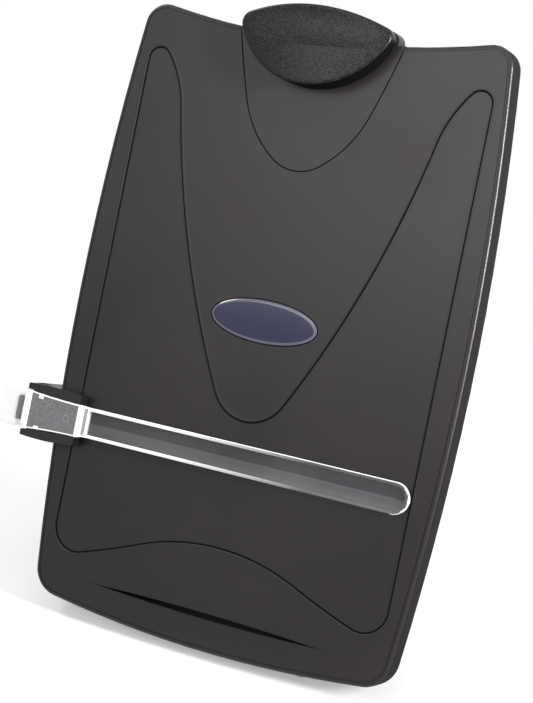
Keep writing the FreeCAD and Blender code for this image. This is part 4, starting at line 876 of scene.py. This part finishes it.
dress("easel_leg", cover_plastic, 0.35)
dress("leg_foot", rubber, 0.3)
dress("leg_pins", zinc_steel, 0.15)
nylon = moulded_plastic(
    "washer_nylon",
    dark=(0.68, 0.68, 0.63),
    light=(0.75, 0.75, 0.7),
    rough=0.4,
    grain_size=0.0008,
    grain_depth=0.00002,
)
dress("leg_washers", nylon, 0.12)

# ---------------------------------------------------------------- carriage of the line guide
# A black slider in two halves grips the edge of the board. Its cheeks flank the clear pad, and a
# felt brake with a bowed leaf spring behind it gives the slide its drag.

slider_plastic = moulded_plastic(
    "slider_plastic",
    dark=(0.006, 0.0055, 0.006),
    light=(0.010, 0.009, 0.010),
    rough=0.38,
    grain_size=0.0007,
    grain_depth=0.00003,
    spread=0.06,
    gloss=0.3,
)
dress("guide_carriage", slider_plastic, 0.25)
dress("guide_backplate", slider_plastic, 0.25)
guide_up = 111.0
carriage_grids = [
    screw_grid(-131.45, guide_up + step, tip=-6.3, seat=-16.3, face=-17.4) for step in (-9, 9)
]
grid_piece(
    "carriage_screw_set",
    carriage_grids,
    [zinc_steel],
    "carriage",
    ["carriage_screws"],
    (False, True),
)
felt = moulded_plastic(
    "brake_felt",
    dark=(0.02, 0.02, 0.02),
    light=(0.035, 0.035, 0.035),
    rough=0.95,
    grain_size=0.0004,
    grain_depth=0.0002,
)
dress("brake_pad", felt, 0.2)
dress("brake_spring", spring_steel)
dress("arm_pin", zinc_steel)

# ---------------------------------------------------------------- clear arm
# One clear polystyrene moulding: a thumb tab, a frosted pad between the cheeks, a bend whose top
# is painted near-white as a highlight, and the long bar, whose thin web lies between two raised rims.

fall_start, fall_end = -0.05, 0.045


def clear_plastic(name, dark, light, rough, grain_size, grain_depth, cover, cover_far=None):
    """Clear moulded plastic: a light cloudiness and gloss that cover part of what lies behind. The
    cover may fall along the bar, from its left to its right, so that a painted highlight fades
    out along it."""
    material = moulded_plastic(name, dark, light, rough, grain_size, grain_depth, 0.04, 0.6)
    tree = material.node_tree
    shader = tree.nodes["Principled BSDF"]
    shader.inputs["Alpha"].default_value = cover
    if cover_far is not None:
        place = tree.nodes.new("ShaderNodeTexCoord")
        along = tree.nodes.new("ShaderNodeSeparateXYZ")
        tree.links.new(place.outputs["Object"], along.inputs[0])
        fall = carry_over(tree, along.outputs["X"], fall_start, fall_end, cover, cover_far)
        tree.links.new(fall.outputs["Result"], shader.inputs["Alpha"])
    return material


clear_tab = clear_plastic(
    "clear_tab",
    dark=(0.74, 0.73, 0.72),
    light=(0.80, 0.79, 0.78),
    rough=0.25,
    grain_size=0.003,
    grain_depth=0.00001,
    cover=0.8,
)
# The pad's grain is coloured in random dark and light spots, painted as shade and glints.
frost_pit_shade, frost_peak_glint = (0.085, 0.082, 0.087), (0.155, 0.15, 0.16)
frosted_pad = clear_plastic(
    "frosted_pad", frost_pit_shade, frost_peak_glint, rough=0.5, grain_size=0.0007, grain_depth=0.00012, cover=0.95
)
speckle_shade_and_glint(frosted_pad, frost_pit_shade, frost_peak_glint, 0.0008)
clear_web = clear_plastic(
    "clear_web",
    dark=(0.07, 0.066, 0.075),
    light=(0.13, 0.125, 0.135),
    rough=0.28,
    grain_size=0.004,
    grain_depth=0.000006,
    cover=0.25,
)
# A lighter copy of the web's finish, painted on the web's lower half as the light that falls there.
web_painted_light = clear_plastic(
    "web_painted_light",
    dark=(0.13, 0.125, 0.135),
    light=(0.2, 0.195, 0.205),
    rough=0.28,
    grain_size=0.004,
    grain_depth=0.000006,
    cover=0.35,
)
# The rims are painted near-white as a highlight that fades out towards the bar's right end.
rim_painted_highlight = clear_plastic(
    "rim_painted_highlight",
    dark=(0.80, 0.80, 0.81),
    light=(0.9, 0.9, 0.91),
    rough=0.15,
    grain_size=0.003,
    grain_depth=0.00001,
    cover=0.9,
    cover_far=0.08,
)
# Near-white, painted as the highlights on the arm's edges, the bend, the tab ridge and the lugs.
edge_painted_highlight = clear_plastic(
    "edge_painted_highlight",
    dark=(0.84, 0.84, 0.85),
    light=(0.92, 0.92, 0.93),
    rough=0.12,
    grain_size=0.003,
    grain_depth=0.00001,
    cover=0.95,
)

# Places along the arm, from the tab's free end to the bar's, with half widths and heights. The
# pairs are the two ends of each bend.
tab_end, pad_start, bend_start, bar_start, bar_end = -156.0, -141.0, -101.9, -98.9, 107.5
tab_half, tab_corner = 11.0, 5.0
pad_wide_at, pad_half_wide, pad_half_narrow, pad_pinch = -138.8, 11.7, 9.5, 0.5
bar_half, bar_rim = 8.9, 2.0
pad_low, pad_top, bar_low, bar_top = 6.6, 8.4, 1.6, 4.4
web_sink, web_crown, rim_dip = 1.3, 0.4, 0.08
web_line, web_line_share = 0.12, 0.06
bar_turn = bar_end - bar_half
pocket_reach = bar_half - bar_rim
pocket_end = bar_turn + pocket_reach
under_bend, top_bend = (bend_start - 0.9, bar_start - 0.3), (bend_start + 0.2, bar_start + 0.9)
pocket_fall, pocket_rise = (bar_start + 1.3, bar_start + 2.1), (pocket_end - 0.5, pocket_end)


def smooth(value, low, high):
    """0 below low, 1 above high, and an easy rise between, 3t squared less 2t cubed."""
    share = np.clip((value - low) / (high - low), 0, 1)
    return share * share * (3 - 2 * share)


def round_nose(radius, past):
    """Half the chord of a circle at a distance past its middle, and its radius before that."""
    return np.sqrt(np.maximum(radius**2 - np.maximum(past, 0) ** 2, 0))


# The sections of the arm lie closer together where its outline or its height changes.
arm_side = np.concatenate([
    tab_end + tab_corner * (1 - np.cos(np.linspace(0, 1, 10) * math.pi / 2)),
    np.linspace(tab_end + tab_corner + 0.5, pad_start, 8),
    [pad_start + 0.15],
    np.linspace(pad_start + 0.4, bend_start - 0.7, 30),
    np.linspace(bend_start - 0.6, bar_start + 0.8, 26),
    np.linspace(bar_start + 1.3, bar_start + 2.2, 6),
    np.linspace(bar_start + 4, bar_turn, 80),
    bar_turn + bar_half * np.sin(np.linspace(0.03, 1, 26) * math.pi / 2),
])
tab_round = tab_half - tab_corner + round_nose(tab_corner, tab_end + tab_corner - arm_side)
pad_middle, pad_reach = (pad_start + bend_start) / 2, (bend_start - pad_start) / 2
pad_share = (arm_side - pad_wide_at) / (bend_start - pad_wide_at)
pad_taper = pad_half_wide + (pad_half_narrow - pad_half_wide) * pad_share
pad_edge = pad_taper - pad_pinch * (1 - ((arm_side - pad_middle) / pad_reach) ** 2)
bar_edge = round_nose(bar_half, arm_side - bar_turn)
bend_edge = pad_half_narrow + (bar_edge - pad_half_narrow) * smooth(arm_side, bend_start, bar_start)
arm_half = np.select([arm_side <= pad_start, arm_side <= bend_start], [tab_round, pad_edge], bend_edge)
arm_low = pad_low + (bar_low - pad_low) * smooth(arm_side, *under_bend)
arm_top = pad_top + (bar_top - pad_top) * smooth(arm_side, *top_bend)
web_drop = web_sink * smooth(arm_side, *pocket_fall) * (1 - smooth(arm_side, *pocket_rise))
pocket_round = round_nose(pocket_reach, arm_side - bar_turn)
rim_in = np.where(arm_side < bar_turn, arm_half - bar_rim, np.minimum(pocket_round, arm_half * 0.9))
rim_round = np.minimum(0.15, arm_half * 0.05)
rim_foot = arm_top - np.minimum(web_drop, rim_dip)
floor_in = np.maximum(rim_in - 0.35, rim_in * 0.5)
border = np.minimum(0.9, arm_half * 0.15)
soft = np.minimum(0.35, arm_half / 4)
nick = soft * 0.3

# Each section across the arm is one loop: a soft-edged slab whose top sinks to the web between
# the rims. The web is crowned like a parabola, with a fine bell-shaped ridge along its middle.
right_half = [
    (rim_in, rim_foot),
    (rim_in + rim_round, arm_top),
    (arm_half - border, arm_top),
    (arm_half - soft, arm_top),
    (arm_half - nick, arm_top - nick),
    (arm_half, arm_top - soft),
    (arm_half, arm_low + soft),
    (arm_half - nick, arm_low + nick),
    (arm_half - soft, arm_low),
]
left_half = [(-up, out) for up, out in reversed(right_half)]
web_share = np.linspace(-1, 1, 17)[:, None]
crown = web_crown * (1 - web_share**2) + web_line * np.exp(-((web_share / web_line_share) ** 2))
web_up = floor_in * web_share
web_out = arm_top - web_drop * (1 + crown / web_sink)
loop = np.array([*left_half, *zip(web_up, web_out), *right_half])
middle_out = (arm_low + arm_top) / 2
caps = np.array([np.zeros(2), middle_out[[0, -1]]])
caps = np.broadcast_to(caps, (len(loop), 2, 2))
loop = np.concatenate([caps[..., :1], loop, caps[..., 1:]], axis=2)
arm_side = np.pad(arm_side, 1, "edge")
arm_half = np.concatenate([arm_half[:1], arm_half, [0.0]])
arm_points = on_board(arm_side, guide_up + loop[:, 0], loop[:, 1])

arm_finishes = (clear_tab, frosted_pad, clear_web, rim_painted_highlight, edge_painted_highlight, web_painted_light)
tab, pad, web, rim, edge, lit_web = range(len(arm_finishes))
tab_until, pad_from, pad_until = pad_start + 2.5, pad_start + 5.4, bend_start - 1.2
bend_from, bend_until, bend_half = bend_start + 1.9, bar_start + 0.6, 8.2
rim_from, web_from, web_under = bar_start + 0.3, bar_start + 1.9, 2.0
pocket_margin, pad_margin, line_width, lit_web_from = 0.1, 0.8, 0.5, 0.4


def arm_finish(side, up, out):
    """Which finish each part of the arm has, by its place along and across. A later line covers
    an earlier one: edges painted near-white as highlights first, then tab, pad, rims painted as a
    highlight, their outer line painted as a highlight, the bend's web, and the bar's web, painted
    lighter below its middle as the light on it."""
    above = up - guide_up
    away = np.abs(above)
    past_turn = np.hypot(side - bar_turn, above)
    on_turn = side >= bar_turn
    in_pocket = np.where(on_turn, past_turn, away) < pocket_reach - pocket_margin
    in_pad = away < np.interp(side, arm_side, arm_half) - pad_margin
    outer_line = np.where(on_turn, past_turn, above) > bar_half - line_width
    finish = np.full(len(side), edge)
    finish[side < tab_until] = tab
    finish[(side >= pad_from) & (side < pad_until) & in_pad] = pad
    finish[side > rim_from] = rim
    finish[(side > rim_from) & outer_line] = edge
    finish[(side > bend_from) & (side < bend_until) & (away < bend_half)] = web
    finish[(side > web_from) & (in_pocket | (out < web_under))] = web
    finish[(side > web_from) & in_pocket & (above < -lit_web_from)] = lit_web
    return finish


grid_piece(
    "arm_blade",
    [arm_points],
    arm_finishes,
    "arm",
    ["guide_arm"],
    (True, False),
    arm_finish,
)

# The ridge across the tab stops the thumb, and a low grip lies beside it. Two lugs under the pad
# turn on the pin, and a small window lies over each. Ridge, lugs and windows are painted
# near-white as highlights.


def low_block(name, left, right, half, low, high, material, middle_up=guide_up):
    """A low block on the arm as one grid: a square oval, its eighth powers adding up to one,
    drawn in a little at each height from the foot to the rounded top, and closed to a point."""
    rise = np.array((0.0, 0.7, 0.92, 1.0))
    draw = np.array((0.0, 0.02, 0.12, 0.35))
    turn = np.linspace(0, 2 * math.pi, 64, endpoint=False)
    power = 2 / 8
    across = np.sign(np.cos(turn)) * np.abs(np.cos(turn)) ** power
    along = np.sign(np.sin(turn)) * np.abs(np.sin(turn)) ** power
    middle, wide = (left + right) / 2, (right - left) / 2
    rows = [(wide, half, low)]
    rows += [(wide - step, half - step, low + (high - low) * lift) for step, lift in zip(draw, rise)]
    rows += [((wide - draw[-1]) * keep, (half - draw[-1]) * keep, high) for keep in (0.6, 0.0)]
    wide, tall, out = np.array(rows).T[:, :, None]
    points = on_board(middle + wide * across, middle_up + tall * along, out)
    grid_piece(name, [points], [material], "arm", closed=(False, True))


low_block("tab_ridge", -139.3, -136.2, half=9.4, low=8.2, high=9.8, material=edge_painted_highlight)
low_block("thumb_grip", -143.9, -139.35, half=7.2, low=8.2, high=8.9, material=frosted_pad)
pin_side, pin_out = -129.0, 4.7
lug_radius, lug_top, lug_thick = 2.1, 6.9, 2.5
window_half, window_low, window_high = 1.7, 8.35, 8.52
lug_outline = [
    (pin_side + lug_radius * math.cos(turn), pin_out + lug_radius * math.sin(turn)) for turn in lower_half
]
lug_outline += [(pin_side + lug_radius, lug_top), (pin_side - lug_radius, lug_top)]
for name, near in (("arm_lug_low", guide_up - 10.45), ("arm_lug_high", guide_up + 7.95)):
    slab(name, lug_outline, near, lug_thick, edge_painted_highlight, "arm", turn=True)
for name, middle_up, half in (
    ("lug_window_low", guide_up - 9.3, 0.6),
    ("lug_window_high", guide_up + 8.7, 1.0),
):
    left, right = pin_side - window_half, pin_side + window_half
    low_block(name, left, right, half, window_low, window_high, edge_painted_highlight, middle_up)

# A round ejector mark stands on the pad as a fine raised ring.
mark_side, mark_radius = -109.6, 2.0
mark_turn = np.linspace(0, 2 * math.pi, 48, endpoint=False)
mark_way = np.stack([np.cos(mark_turn), np.sin(mark_turn)], axis=-1)
mark_path = np.array((mark_side, guide_up)) + mark_radius * mark_way
mark_plastic = clear_plastic(
    "mark_plastic",
    dark=(0.2, 0.195, 0.2),
    light=(0.26, 0.25, 0.26),
    rough=0.3,
    grain_size=0.003,
    grain_depth=0.00001,
    cover=0.9,
)
mark_profile = [(-0.2, 8.38), (-0.12, 8.47), (0.12, 8.47), (0.2, 8.38)]
edge_strip("ejector_mark", mark_path, mark_way, mark_profile, mark_plastic, "arm")

# ---------------------------------------------------------------- spring of the arm
# A fine torsion spring on the pin presses the bar on the page: eight turns and two short legs.
# It is wound from bright spring wire and lies between the two lugs.

fine_up, fine_side, fine_out = spring_line(
    turns=8,
    steps=240,
    radius=1.56,
    across=pin_side,
    out=pin_out,
    along=guide_up,
    half_long=2.8,
    foot=3.0,
    reach=1.7,
)
wire("arm_coil", on_board(fine_side, fine_up, fine_out), 0.25, "carriage", "arm_spring")
